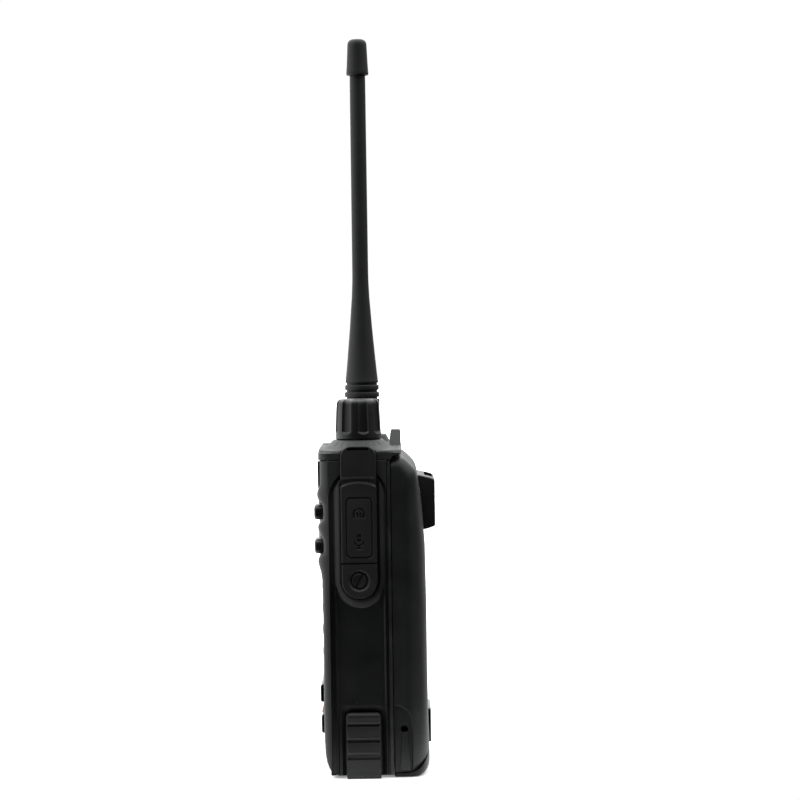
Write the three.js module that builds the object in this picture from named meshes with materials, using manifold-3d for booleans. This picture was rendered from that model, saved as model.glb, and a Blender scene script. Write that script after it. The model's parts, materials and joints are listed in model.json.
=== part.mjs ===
// A hand-held two way radio with a detachable battery, in millimetres.
// X points to the holder's right, the front faces -Y, the battery is at +Y and +Z is up.
// The origin is under the middle of the radio, on the surface that it stands on.

import * as THREE from 'three';
import { mergeVertices } from 'three/addons/utils/BufferGeometryUtils.js';
import Module from 'manifold-3d';

const wasm = await Module();
wasm.setup();

// ---- driving dimensions ----------------------------------------------------------------------

const GAP = 0.3;                 // clearance between neighbouring pieces
const HALF_WIDTH = 29;           // half the width of the case
const GRIP_X = 30.5;             // outermost reach of the side fittings, on both sides
const CASE_FRONT = -19.3;        // foremost skin of the case, beside the display
const FACE_Y = -18.15;           // skin of the case at the keypad and the speaker
const CASE_BACK = 3.8;           // rear edge of the plastic case
const CASE_BOTTOM = 0.9;
const CASE_TOP = 106.2;
const WALL = 2.6;                // side wall of the case
const CAVITY_FRONT = -16.5;
const CAVITY_LOW = 4.4;
const CAVITY_HIGH = 103.6;
const CORNER = 3.6;              // upright front corners

const DECK_LOW = CASE_TOP + GAP;
const DECK_TOP = 109.3;
const DECK_FRONT = -18.8;
const DECK_BACK = 8.2;
const EAVE_RISE = 1.8;           // how much the underside climbs over the battery

const CHASSIS_BACK = 5.2;        // face that the battery lies against
const CHASSIS_FLANGE = CASE_BACK + GAP;
const BATTERY_FRONT = CHASSIS_BACK + GAP;
const BATTERY_HALF_WIDTH = 28.6;
const BATTERY_TOP = 105.9;
const BATTERY_WALL = 1.6;

const KNOB = { x: 16, y: -5.4, low: 112.9, high: 126.4, lowRadius: 7.7, highRadius: 7.2 };
const ANTENNA = { x: -16, y: -4.5, top: 251.5 };

const COVER = { front: -11.3, back: 0.6, low: 60.2, high: 111.1, inner: 27.9, outer: 30.3 };
const LATCH = { front: -10.5, back: 1, high: 21.9, inner: 27.3, travel: 2.3 };

const SIDE_KEY_ROWS = [88.7, 77.3];    // heights of the two pairs of keys beside the display
const SIDE_KEY_X = 20;
const PAD_ROWS = [63.6, 56.2, 48.8, 41.4];
const PAD_COLUMNS = [-14.6, 0, 14.6];
const PAD_NAMES = [
  ['1', '2', '3'],
  ['4', '5', '6'],
  ['7', '8', '9'],
  ['star', '0', 'hash'],
];

const SIDE_KEY = { halfWidth: 4.9, halfHeight: 2.75, front: -20.5, back: -15.8 };
const PAD_KEY = { halfWidth: 5.6, halfHeight: 2.45, front: -18.3, back: -15.6 };

const TALK_KEYS = [
  { name: 'talk_key', low: 65, high: 92.5 },
  { name: 'side_key_upper', low: 54.6, high: 62.4 },
  { name: 'side_key_lower', low: 44.6, high: 52.4 },
];
const TALK_KEY_FRONT = -8.8;
const TALK_KEY_BACK = -1.2;

const LATCH_BRIDGE = 1.3;        // thickness of the bar under the foot
const CONTACTS = { halfWidth: 8.4, low: 11.4, high: 18 };
const CHARGE_PORT = { halfWidth: 9.4, low: 7.2, high: 20.6, back: 18 };
const BRACKET_SCREW_X = 10.6;
const BRACKET_SCREW_Z = 91.5;

// ---- finishes --------------------------------------------------------------------------------

const FINISHES = {
  casePlastic: { color: 0x2b2d2e, roughness: 0.55, metalness: 0 },
  batteryPlastic: { color: 0x2e3031, roughness: 0.5, metalness: 0 },
  glossPlastic: { color: 0x0c0d0e, roughness: 0.12, metalness: 0 },
  rubber: { color: 0x262829, roughness: 0.75, metalness: 0 },
  keyRubber: { color: 0x1b1c1d, roughness: 0.4, metalness: 0 },
  orangePlastic: { color: 0xd2622a, roughness: 0.4, metalness: 0 },
  chassisMetal: { color: 0x35383a, roughness: 0.5, metalness: 0.6 },
  steel: { color: 0x8f9294, roughness: 0.3, metalness: 1 },
  gold: { color: 0xc9a24a, roughness: 0.25, metalness: 1 },
  circuitBoard: { color: 0x1f5a36, roughness: 0.5, metalness: 0 },
  cellWrap: { color: 0x3d5f8a, roughness: 0.4, metalness: 0 },
  lensPlastic: { color: 0x3a4a3c, roughness: 0.15, metalness: 0 },
};

// ---- solids and outlines ---------------------------------------------------------------------

function solid(geometry) {
  const bare = geometry.clone();
  bare.deleteAttribute('normal');
  bare.deleteAttribute('uv');
  const merged = mergeVertices(bare, 1e-4);
  const points = merged.attributes.position.array;
  const corners = dropSlivers(merged.index.array);
  if (signedVolume(points, corners) < 0) {
    corners.reverse();
  }
  const triVerts = new Uint32Array(corners);
  return new wasm.Manifold(new wasm.Mesh({ numProp: 3, vertProperties: points, triVerts }));
}

function dropSlivers(index) {
  const kept = [];
  for (let i = 0; i < index.length; i += 3) {
    const [a, b, c] = [index[i], index[i + 1], index[i + 2]];
    if (a !== b && b !== c && c !== a) {
      kept.push(a, b, c);
    }
  }
  return kept;
}

function signedVolume(points, corners) {
  const vertex = (i) => new THREE.Vector3().fromArray(points, 3 * i);
  let sum = 0;
  for (let i = 0; i < corners.length; i += 3) {
    const [a, b, c] = [vertex(corners[i]), vertex(corners[i + 1]), vertex(corners[i + 2])];
    sum += a.dot(b.cross(c));
  }
  return sum / 6;
}

function geometryOf(manifold) {
  const mesh = manifold.getMesh();
  const geometry = new THREE.BufferGeometry();
  geometry.setAttribute('position', new THREE.BufferAttribute(mesh.vertProperties, 3));
  geometry.setIndex(new THREE.BufferAttribute(mesh.triVerts, 1));
  geometry.computeVertexNormals();
  return geometry;
}

// A block between two opposite corners.
function block(low, high) {
  const [sx, sy, sz] = high.map((value, axis) => value - low[axis]);
  const geometry = new THREE.BoxGeometry(sx, sy, sz);
  geometry.translate(low[0] + sx / 2, low[1] + sy / 2, low[2] + sz / 2);
  return solid(geometry);
}

function extrusion(shape, depth, curveSegments) {
  return new THREE.ExtrudeGeometry(shape, { depth, bevelEnabled: false, steps: 1, curveSegments });
}

// An outline drawn in (y, z), swept along X.
function sweepX(shape, from, to, curveSegments = 6) {
  const geometry = extrusion(shape, to - from, curveSegments);
  const turn = new THREE.Matrix4().set(0, 0, 1, from, 1, 0, 0, 0, 0, 1, 0, 0, 0, 0, 0, 1);
  return solid(geometry.applyMatrix4(turn));
}

// An outline drawn in (x, z), swept along Y.
function sweepY(shape, from, to, curveSegments = 6) {
  const geometry = extrusion(shape, to - from, curveSegments);
  const turn = new THREE.Matrix4().set(1, 0, 0, 0, 0, 0, -1, to, 0, 1, 0, 0, 0, 0, 0, 1);
  return solid(geometry.applyMatrix4(turn));
}

// An outline drawn in (x, y), swept along Z.
function sweepZ(shape, from, to, curveSegments = 6) {
  const geometry = extrusion(shape, to - from, curveSegments);
  return solid(geometry.translate(0, 0, from));
}

function polygon(points) {
  return new THREE.Shape(points.map(([a, b]) => new THREE.Vector2(a, b)));
}

// A rectangle with its own radius at each corner, from the low corner anticlockwise.
function rounded(lowA, highA, lowB, highB, radii) {
  const [r1, r2, r3, r4] = Array.isArray(radii) ? radii : [radii, radii, radii, radii];
  const shape = new THREE.Shape();
  shape.moveTo(lowA + r1, lowB);
  shape.lineTo(highA - r2, lowB);
  shape.absarc(highA - r2, lowB + r2, r2, -Math.PI / 2, 0);
  shape.lineTo(highA, highB - r3);
  shape.absarc(highA - r3, highB - r3, r3, 0, Math.PI / 2);
  shape.lineTo(lowA + r4, highB);
  shape.absarc(lowA + r4, highB - r4, r4, Math.PI / 2, Math.PI);
  shape.lineTo(lowA, lowB + r1);
  shape.absarc(lowA + r1, lowB + r1, r1, Math.PI, 1.5 * Math.PI);
  return shape;
}

// A body of revolution from (radius, height) points, turned about an upright axis.
function turned(profile, x, y, segments = 24) {
  const points = profile.map(([radius, height]) => new THREE.Vector2(radius, height));
  const geometry = new THREE.LatheGeometry(points, segments);
  geometry.rotateX(Math.PI / 2);
  return solid(geometry.translate(x, y, 0));
}

function rodZ(x, y, radius, low, high, segments = 20) {
  return turned([[0, low], [radius, low], [radius, high], [0, high]], x, y, segments);
}

function rodX(y, z, radius, low, high, segments = 20) {
  const geometry = new THREE.CylinderGeometry(radius, radius, high - low, segments);
  geometry.rotateZ(Math.PI / 2);
  return solid(geometry.translate((low + high) / 2, y, z));
}

function rodY(x, z, radius, low, high, segments = 20) {
  const geometry = new THREE.CylinderGeometry(radius, radius, high - low, segments);
  return solid(geometry.translate(x, (low + high) / 2, z));
}

// ---- the assembly ----------------------------------------------------------------------------

const radio = new THREE.Group();

function addPart(name, manifold, finish, place = [0, 0, 0]) {
  const mesh = new THREE.Mesh(geometryOf(manifold), new THREE.MeshStandardMaterial(FINISHES[finish]));
  mesh.name = name;
  mesh.position.set(...place);
  radio.add(mesh);
}

// ---- front case ------------------------------------------------------------------------------

const GROOVE = { front: -15.3, back: -13.7, floor: 28.1, spring: 92.5, rise: 10 };
const PANEL = { back: 3.1, floor: 28.4 };
const RIM = { outer: 29.8, width: 2.1 };
const LENS = { halfWidth: 25, low: 96.6, high: 105.9, stemHalfWidth: 12.6, stemLow: 70.6, thick: 1 };
const PAD_FIELD = { halfWidth: 23.2, low: 37, high: 68, depth: 0.4 };
const GRILLE = { halfWidth: 17.4, low: 12.7, high: 31 };
const SIDE_BEZEL = { front: -10.6, back: 0.6, low: 42, high: 95.5 };
const JACKS = [{ z: 88.6, radius: 1.8 }, { z: 79.4, radius: 1.25 }];
const COVER_SCREW = { y: -5.5, z: 66.2 };
const JACK_Y = -5.3;

// The side view of the skin: two dips hold the upper keys, and the foot slopes back.
function caseProfile() {
  const dip = (z) => [
    [CASE_FRONT, z + 5.3],
    [CASE_FRONT + 0.4, z + 4.2],
    [FACE_Y, z + 2.9],
    [FACE_Y, z - 2.9],
    [CASE_FRONT + 0.4, z - 4.2],
    [CASE_FRONT, z - 5.3],
  ];
  return polygon([
    [CASE_BACK, CASE_BOTTOM],
    [CASE_BACK, CASE_TOP],
    [CASE_FRONT, CASE_TOP],
    ...SIDE_KEY_ROWS.flatMap(dip),
    [FACE_Y, 68.2],
    [FACE_Y, 38],
    [FACE_Y - 0.3, 14.3],
    [FACE_Y, 7.6],
    [FACE_Y + 1.1, 3.2],
    [FACE_Y + 2.9, CASE_BOTTOM],
  ]);
}

function lensOutline(grow, low) {
  const wide = LENS.halfWidth + grow;
  const stem = LENS.stemHalfWidth + grow;
  return polygon([
    [-stem, low - grow],
    [stem, low - grow],
    [stem, LENS.low - grow],
    [wide - 3, LENS.low - grow],
    [wide, LENS.low + 3 - grow],
    [wide, LENS.high + grow],
    [-wide, LENS.high + grow],
    [-wide, LENS.low + 3 - grow],
    [-wide + 3, LENS.low - grow],
    [-stem, LENS.low - grow],
  ]);
}

// The groove runs up the side and curls in over the panel until it meets the jack cover.
function grooveOutline() {
  const shape = new THREE.Shape();
  const middle = (COVER.front + COVER.back) / 2;
  const outer = middle - GROOVE.front;
  const inner = middle - GROOVE.back;
  shape.moveTo(GROOVE.front, CASE_BOTTOM - 1);
  shape.lineTo(GROOVE.back, CASE_BOTTOM - 1);
  shape.lineTo(GROOVE.back, GROOVE.spring);
  shape.absellipse(middle, GROOVE.spring, inner, GROOVE.rise, Math.PI, Math.PI / 2, true);
  shape.lineTo(middle, GROOVE.spring + GROOVE.rise + 1.2);
  shape.absellipse(middle, GROOVE.spring, outer, GROOVE.rise + 1.2, Math.PI / 2, Math.PI, false);
  return shape;
}

// The jack cover and the wider seat around it: square sides over a round foot.
function coverOutline(grow, top, chamfer = 0) {
  const middle = (COVER.front + COVER.back) / 2;
  const radius = (COVER.back - COVER.front) / 2 + grow;
  const low = COVER.low + (COVER.back - COVER.front) / 2;
  const shape = new THREE.Shape();
  shape.moveTo(middle + radius, low);
  shape.lineTo(middle + radius, top - chamfer);
  shape.lineTo(middle + radius - chamfer, top);
  shape.lineTo(middle - radius + chamfer, top);
  shape.lineTo(middle - radius, top - chamfer);
  shape.lineTo(middle - radius, low);
  shape.absarc(middle, low, radius, Math.PI, 2 * Math.PI, false);
  return shape;
}

function frontCase() {
  const plan = rounded(-HALF_WIDTH, HALF_WIDTH, CASE_FRONT, CASE_BACK, [CORNER, CORNER, 0.4, 0.4]);
  const far = HALF_WIDTH + 5;
  const rim = sweepX(coverOutline(RIM.width, GROOVE.spring + 6), HALF_WIDTH - 1, RIM.outer, 8);
  const stemBlock = block(
    [-LENS.stemHalfWidth - 2, CASE_FRONT, LENS.stemLow - 2],
    [LENS.stemHalfWidth + 2, CASE_FRONT + 2, LENS.low + 2],
  );
  let body = sweepZ(plan, CASE_BOTTOM, CASE_TOP)
    .intersect(sweepX(caseProfile(), -far, far))
    .add(stemBlock);

  // hollow, open to the back, with a step for the seal
  const inside = HALF_WIDTH - WALL;
  body = body
    .subtract(block([-inside, CAVITY_FRONT, CAVITY_LOW + 2], [inside, CASE_BACK + 1, CAVITY_HIGH]))
    .subtract(block([-inside, FACE_Y + 4, CAVITY_LOW], [inside, CASE_BACK + 1, CAVITY_LOW + 3]))
    .subtract(block([-inside - 1, 2.3, CAVITY_LOW - 1], [inside + 1, CASE_BACK + 1, CAVITY_HIGH + 1]));

  // side relief: groove, sunken panel, raised seat of the jack cover
  body = body
    .subtract(sweepX(grooveOutline(), GROOVE.floor, far, 8))
    .subtract(block([PANEL.floor, GROOVE.back, 0], [far, PANEL.back, COVER.low + 5.5]))
    .add(rim)
    .subtract(sweepX(coverOutline(GAP, CASE_TOP + 5), COVER.inner - GAP, far, 8));

  // display window, key openings, speaker seat
  body = body
    .subtract(sweepY(lensOutline(GAP, LENS.stemLow), CASE_FRONT - 1, CASE_FRONT + LENS.thick + GAP))
    .subtract(block([-11.4, CASE_FRONT - 1, 74], [11.4, CAVITY_FRONT + 1, 102]))
    .subtract(block(
      [-PAD_FIELD.halfWidth, CASE_FRONT - 1, PAD_FIELD.low],
      [PAD_FIELD.halfWidth, FACE_Y + PAD_FIELD.depth, PAD_FIELD.high],
    ))
    .subtract(block(
      [-GRILLE.halfWidth - GAP, CASE_FRONT - 1, GRILLE.low - GAP],
      [GRILLE.halfWidth + GAP, FACE_Y + 0.9, GRILLE.high + GAP],
    ))
    .subtract(block([-13, CASE_FRONT - 1, 15], [13, CAVITY_FRONT + 1, 28.6]));
  for (const z of SIDE_KEY_ROWS) {
    for (const x of [-SIDE_KEY_X, SIDE_KEY_X]) {
      body = body.subtract(keyHole(x, z, SIDE_KEY));
    }
  }
  for (const z of PAD_ROWS) {
    for (const x of PAD_COLUMNS) {
      body = body.subtract(keyHole(x, z, PAD_KEY));
    }
  }

  // latch recess on each side, and the channel under the foot for its bridge
  const latchOutline = rounded(LATCH.front - 0.5, LATCH.back + 0.5, -5, LATCH.high + 2.8, [0, 0, 1.5, 1.5]);
  body = body
    .subtract(sweepX(latchOutline, LATCH.inner - GAP, far))
    .subtract(sweepX(latchOutline, -far, -LATCH.inner + GAP))
    .subtract(block(
      [-far, LATCH.front - 0.5, 0],
      [far, LATCH.back + 0.5, LATCH_BRIDGE + LATCH.travel + GAP],
    ));

  // talk key side: a seat for the bezel and three openings behind it
  const bezelSeat = rounded(
    SIDE_BEZEL.front - GAP, SIDE_BEZEL.back + GAP, SIDE_BEZEL.low - GAP, SIDE_BEZEL.high + GAP, 3);
  body = body.subtract(sweepX(bezelSeat, -far, -HALF_WIDTH + 0.9));
  for (const key of TALK_KEYS) {
    body = body.subtract(sweepX(talkKeyOutline(key, GAP), -far, -HALF_WIDTH + WALL + 1));
  }

  // openings for the jacks, the cover screw and what stands through the deck
  for (const jack of JACKS) {
    body = body.subtract(rodX(JACK_Y, jack.z, 2.6, HALF_WIDTH - WALL - 1, far));
  }
  return body
    .subtract(rodX(COVER_SCREW.y, COVER_SCREW.z, 1.7, HALF_WIDTH - WALL - 1, far))
    .subtract(rodZ(KNOB.x, KNOB.y, 4.2, CAVITY_HIGH - 1, CASE_TOP + 1))
    .subtract(rodZ(ANTENNA.x, ANTENNA.y, 4.4, CAVITY_HIGH - 1, CASE_TOP + 1))
    .subtract(block([-3.4, -8, CAVITY_HIGH - 1], [3.4, 0, CASE_TOP + 1]))
    .subtract(block([-2.2, -17, CAVITY_HIGH - 1], [2.2, -14.8, CASE_TOP + 1]));
}

// ---- keys ------------------------------------------------------------------------------------


function keyHole(x, z, key) {
  const outline = rounded(
    x - key.halfWidth - GAP, x + key.halfWidth + GAP,
    z - key.halfHeight - GAP, z + key.halfHeight + GAP, 2,
  );
  return sweepY(outline, CASE_FRONT - 2, CAVITY_FRONT + 0.5, 3);
}

// A key beside the display: a half-round pad with a foot behind the skin.
function sideKey() {
  const { halfWidth, halfHeight } = SIDE_KEY;
  const shape = rounded(-halfWidth, halfWidth, -halfHeight, halfHeight, 2);
  const dome = polygon([
    [SIDE_KEY.back, -3],
    [SIDE_KEY.back, 3],
    [SIDE_KEY.front + 2, 3],
    [SIDE_KEY.front + 0.9, 2.4],
    [SIDE_KEY.front + 0.2, 1.3],
    [SIDE_KEY.front, 0],
    [SIDE_KEY.front + 0.2, -1.3],
    [SIDE_KEY.front + 0.9, -2.4],
    [SIDE_KEY.front + 2, -3],
  ]);
  return sweepY(shape, SIDE_KEY.front, SIDE_KEY.back, 4).intersect(sweepX(dome, -6, 6));
}

function padKey() {
  const { halfWidth, halfHeight } = PAD_KEY;
  const shape = rounded(-halfWidth, halfWidth, -halfHeight, halfHeight, 1.9);
  const crown = polygon([
    [PAD_KEY.back, -3],
    [PAD_KEY.back, 3],
    [PAD_KEY.front + 0.35, 3],
    [PAD_KEY.front, 1.6],
    [PAD_KEY.front, -1.6],
    [PAD_KEY.front + 0.35, -3],
  ]);
  return sweepY(shape, PAD_KEY.front, PAD_KEY.back, 4).intersect(sweepX(crown, -7, 7));
}

function addFrontKeys() {
  const sides = [['left', -SIDE_KEY_X], ['right', SIDE_KEY_X]];
  const rows = [['upper', SIDE_KEY_ROWS[0]], ['lower', SIDE_KEY_ROWS[1]]];
  for (const [side, x] of sides) {
    for (const [row, z] of rows) {
      addPart(`menu_key_${row}_${side}`, sideKey(), 'glossPlastic', [x, 0, z]);
    }
  }
  PAD_NAMES.forEach((names, row) => {
    names.forEach((name, column) => {
      addPart(`pad_key_${name}`, padKey(), 'keyRubber', [PAD_COLUMNS[column], 0, PAD_ROWS[row]]);
    });
  });
}

// ---- talk key side ---------------------------------------------------------------------------

function talkKeyOutline(key, grow) {
  return rounded(TALK_KEY_FRONT - grow, TALK_KEY_BACK + grow, key.low - grow, key.high + grow, 2.2);
}

function talkKey(key) {
  const crown = polygon([
    [-GRIP_X + 0.6, key.low - 1],
    [-GRIP_X, key.low + 2.4],
    [-GRIP_X, key.high - 2.4],
    [-GRIP_X + 0.6, key.high + 1],
    [-HALF_WIDTH + 3.6, key.high + 1],
    [-HALF_WIDTH + 3.6, key.low - 1],
  ]);
  return sweepX(talkKeyOutline(key, 0), -GRIP_X, -HALF_WIDTH + 3.6, 4).intersect(sweepY(crown, -12, 2));
}

function sideBezel() {
  const outline = rounded(SIDE_BEZEL.front, SIDE_BEZEL.back, SIDE_BEZEL.low, SIDE_BEZEL.high, 3);
  let bezel = sweepX(outline, -HALF_WIDTH - 0.4, -HALF_WIDTH + 0.6, 4);
  for (const key of TALK_KEYS) {
    bezel = bezel.subtract(sweepX(talkKeyOutline(key, GAP), -GRIP_X, -HALF_WIDTH + 2));
  }
  return bezel;
}

// ---- deck ------------------------------------------------------------------------------------

const KNOB_BOSS = { lowRadius: 10.2, highRadius: 8.2, top: 112.3 };
const ANTENNA_BOSS = { lowRadius: 9.2, highRadius: 7.6, top: 111.5 };
const GUARD = { halfWidth: 8, front: 5.2, back: 8.1, top: 114.9 };
const ALARM = { halfWidth: 4.2, front: -9.2, back: 3.8, top: 112.4 };
const INDICATOR = { halfWidth: 3, front: -17.4, back: -14.4, top: 110.9 };

function topCover() {
  const plan = rounded(-HALF_WIDTH, HALF_WIDTH, DECK_FRONT, DECK_BACK, [4.2, 4.2, 2.2, 2.2]);
  const crown = polygon([
    [-HALF_WIDTH, DECK_LOW - 1],
    [HALF_WIDTH, DECK_LOW - 1],
    [HALF_WIDTH, DECK_TOP - 0.9],
    [HALF_WIDTH - 1.1, DECK_TOP - 0.2],
    [18, DECK_TOP],
    [-18, DECK_TOP],
    [-HALF_WIDTH + 1.1, DECK_TOP - 0.2],
    [-HALF_WIDTH, DECK_TOP - 0.9],
  ]);
  const guard = polygon([
    [GUARD.front, DECK_LOW + 1],
    [GUARD.back, DECK_LOW + 1],
    [GUARD.back - 0.2, GUARD.top - 0.9],
    [GUARD.back - 1, GUARD.top],
    [GUARD.front + 0.6, GUARD.top],
    [GUARD.front + 0.2, GUARD.top - 0.6],
  ]);
  const boss = (at, size) => turned([
    [0, DECK_LOW + 1],
    [size.lowRadius, DECK_LOW + 1],
    [size.lowRadius, DECK_TOP],
    [size.highRadius, size.top],
    [0, size.top],
  ], at.x, at.y, 28);
  const eave = polygon([
    [BATTERY_FRONT, DECK_LOW - 1],
    [BATTERY_FRONT, DECK_LOW],
    [DECK_BACK + 1, DECK_LOW + EAVE_RISE],
    [DECK_BACK + 1, DECK_LOW - 1],
  ]);
  return sweepZ(plan, DECK_LOW, DECK_TOP, 4)
    .intersect(sweepY(crown, -25, 12))
    .subtract(sweepX(eave, -HALF_WIDTH - 1, HALF_WIDTH + 1))
    .add(boss(KNOB, KNOB_BOSS))
    .add(boss(ANTENNA, ANTENNA_BOSS))
    .add(sweepX(guard, -GUARD.halfWidth, GUARD.halfWidth))
    .subtract(rodZ(KNOB.x, KNOB.y, 3.9, DECK_LOW - 1, KNOB_BOSS.top + 1))
    .subtract(rodZ(ANTENNA.x, ANTENNA.y, 4.1, DECK_LOW - 1, ANTENNA_BOSS.top + 1))
    .subtract(block(
      [-ALARM.halfWidth - GAP, ALARM.front - GAP, DECK_LOW - 1],
      [ALARM.halfWidth + GAP, ALARM.back + GAP, DECK_TOP + 1],
    ))
    .subtract(block(
      [-INDICATOR.halfWidth - GAP, INDICATOR.front - GAP, DECK_LOW - 1],
      [INDICATOR.halfWidth + GAP, INDICATOR.back + GAP, DECK_TOP + 1],
    ))
    .subtract(block(
      [COVER.inner - 0.6, COVER.front - GAP, DECK_LOW - 1],
      [HALF_WIDTH + 1, COVER.back + GAP, DECK_TOP + 1],
    ));
}

function alarmKey() {
  const dome = polygon([
    [ALARM.front, DECK_LOW + 0.9],
    [ALARM.back, DECK_LOW + 0.9],
    [ALARM.back, DECK_TOP + 1.2],
    [ALARM.back - 2, ALARM.top - 0.4],
    [(ALARM.front + ALARM.back) / 2, ALARM.top],
    [ALARM.front + 2, ALARM.top - 0.4],
    [ALARM.front, DECK_TOP + 1.2],
  ]);
  const plan = rounded(-ALARM.halfWidth, ALARM.halfWidth, ALARM.front, ALARM.back, 2);
  return sweepZ(plan, DECK_LOW + 0.9, ALARM.top, 4).intersect(sweepX(dome, -8, 8));
}

function indicatorLens() {
  const dome = polygon([
    [INDICATOR.front, DECK_LOW + 0.4],
    [INDICATOR.back, DECK_LOW + 0.4],
    [INDICATOR.back, INDICATOR.top - 0.5],
    [INDICATOR.back - 1.2, INDICATOR.top],
    [INDICATOR.front + 0.8, INDICATOR.top - 0.2],
    [INDICATOR.front, INDICATOR.top - 0.9],
  ]);
  return sweepX(dome, -INDICATOR.halfWidth, INDICATOR.halfWidth);
}

// ---- knob and antenna ------------------------------------------------------------------------

const FLUTES = 8;
const FLUTE = { radius: 1.5, reach: 0.85, low: 114.9, first: 15 };

function volumeKnob() {
  let knob = turned([
    [0, KNOB.low],
    [KNOB.lowRadius, KNOB.low],
    [KNOB.lowRadius - 0.05, KNOB.low + 2],
    [KNOB.highRadius, KNOB.high - 1.1],
    [KNOB.highRadius - 0.4, KNOB.high - 0.4],
    [KNOB.highRadius - 1.2, KNOB.high],
    [0, KNOB.high],
  ], 0, 0, 48);
  for (let i = 0; i < FLUTES; i += 1) {
    const angle = THREE.MathUtils.degToRad(FLUTE.first + (360 / FLUTES) * i);
    const out = KNOB.lowRadius + FLUTE.radius - FLUTE.reach;
    knob = knob.subtract(
      rodZ(out * Math.cos(angle), out * Math.sin(angle), FLUTE.radius, FLUTE.low, KNOB.high + 1, 14));
  }
  return knob.subtract(rodZ(0, 0, 3.3, KNOB.low - 1, KNOB.high - 3));
}

const SHAFT = { radius: 3, low: 100.4, high: KNOB.high - 3.3 };

function knobShaft() {
  return rodZ(0, 0, SHAFT.radius, SHAFT.low, SHAFT.high)
    .subtract(block([-4, 1.7, KNOB.low], [4, 4, SHAFT.high + 1]));
}

const WHIP_RADIUS = 2.75;
const RING = { radius: 6.1, waist: 5.6, pitch: 2.5, width: 0.7, top: 130.6 };

function antennaWhip() {
  const rings = [0, 1, 2].flatMap((step) => {
    const z = RING.top - step * RING.pitch;
    const [high, low] = [z + RING.width / 2, z - RING.width / 2];
    return [[RING.radius, high], [RING.waist, high], [RING.waist, low], [RING.radius, low]];
  });
  return turned([
    [0, 239.6],
    [WHIP_RADIUS, 239.6],
    [WHIP_RADIUS, 166],
    [RING.radius - 0.1, 132],
    ...rings,
    [RING.radius, 112.4],
    [RING.radius - 0.4, 111.9],
    [3.4, 111.9],
    [3.4, 115.5],
    [0, 115.5],
  ], 0, 0, 28);
}

function antennaCap() {
  return turned([
    [0, ANTENNA.top],
    [1.7, ANTENNA.top - 0.1],
    [2.8, ANTENNA.top - 0.6],
    [3.4, ANTENNA.top - 1.7],
    [3.9, 239.2],
    [3.9, 238.9],
    [WHIP_RADIUS + GAP, 238.9],
    [WHIP_RADIUS + GAP, 239.9],
    [0, 239.9],
  ], 0, 0, 28);
}

// ---- jack cover, its screw and the jacks -----------------------------------------------------

function jackCover() {
  const plate = sweepX(coverOutline(0, 100), COVER.inner, COVER.outer, 8);
  const strap = sweepX(
    rounded(COVER.front, COVER.back, 98.6, COVER.high, [0, 0, 2.6, 2.6]), COVER.inner, GRIP_X, 4);
  const panel = rounded(-9.5, -1, 73.9, 93.8, 1.4);
  const inset = rounded(-9.1, -1.4, 74.3, 93.4, 1.2);
  const line = sweepX(panel, COVER.outer - 0.3, 35, 3).subtract(sweepX(inset, COVER.outer - 0.4, 35, 3));
  return plate
    .add(strap)
    .subtract(line)
    .subtract(block([COVER.outer - 0.3, -20, 71.7], [35, 20, 72.2]))
    .subtract(block([COVER.outer - 1.2, -8.9, 109.4], [35, -2.2, 110.5]))
    .subtract(rodX(COVER_SCREW.y, COVER_SCREW.z, 2.8, COVER.outer - 1.3, 35, 24))
    .subtract(rodX(COVER_SCREW.y, COVER_SCREW.z, 1.5, 20, 35));
}

function coverScrew() {
  const head = rodX(0, 0, 2.45, 29.3, 30, 24);
  const shank = rodX(0, 0, 1.2, 25.4, 29.4, 16);
  const slotSize = new THREE.BoxGeometry(1.2, 0.7, 6);
  slotSize.rotateX(THREE.MathUtils.degToRad(-28));
  return head.add(shank).subtract(solid(slotSize.translate(30.1, 0, 0)));
}

function jackBlock() {
  let body = block([18.4, -8.6, 74.4], [HALF_WIDTH - WALL - GAP, -2, 94]);
  for (const jack of JACKS) {
    body = body.subtract(rodX(JACK_Y, jack.z, jack.radius, 20, 30, 20));
  }
  return body;
}

// ---- latch -----------------------------------------------------------------------------------

const LATCH_RIBS = [19, 13.3, 8.6];

// The side view of one grip, in (x, z): ribs flare downwards and step back in.
function gripOutline() {
  const points = [[LATCH.inner, 0], [GRIP_X, 0], [GRIP_X, LATCH_RIBS[2] - 2.4]];
  for (const z of [...LATCH_RIBS].reverse()) {
    points.push([GRIP_X - 0.55, z - 2.3], [GRIP_X, z - 0.4], [GRIP_X - 0.5, z + 0.8]);
  }
  points.push([GRIP_X - 0.5, LATCH.high - 0.8], [GRIP_X - 1.3, LATCH.high], [LATCH.inner, LATCH.high]);
  return points;
}

function batteryLatch() {
  const right = gripOutline();
  const left = right.map(([x, z]) => [-x, z]);
  const side = rounded(LATCH.front, LATCH.back, 0, LATCH.high, [0.8, 0.8, 1.2, 1.2]);
  return sweepY(polygon(right), LATCH.front, LATCH.back)
    .add(sweepY(polygon(left), LATCH.front, LATCH.back))
    .add(block([-GRIP_X, LATCH.front, 0], [GRIP_X, LATCH.back, LATCH_BRIDGE]))
    .intersect(sweepX(side, -40, 40, 3));
}

// ---- display, keypad, board, speaker ---------------------------------------------------------

function displayLens() {
  return sweepY(lensOutline(0, LENS.stemLow), CASE_FRONT, CASE_FRONT + LENS.thick);
}

function displayModule() {
  return block([-14.5, CAVITY_FRONT + 0.4, 71], [14.5, CAVITY_FRONT + 3.2, 103]);
}

function keypadMat() {
  const window = block([-15, -16, 70.6], [15, -14, 97]);
  return block([-25.4, -15, 36], [25.4, -14.3, 93]).subtract(window);
}

function mainBoard() {
  return block([-24.6, -12.4, 8], [24.6, -11.2, 101]);
}

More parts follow.
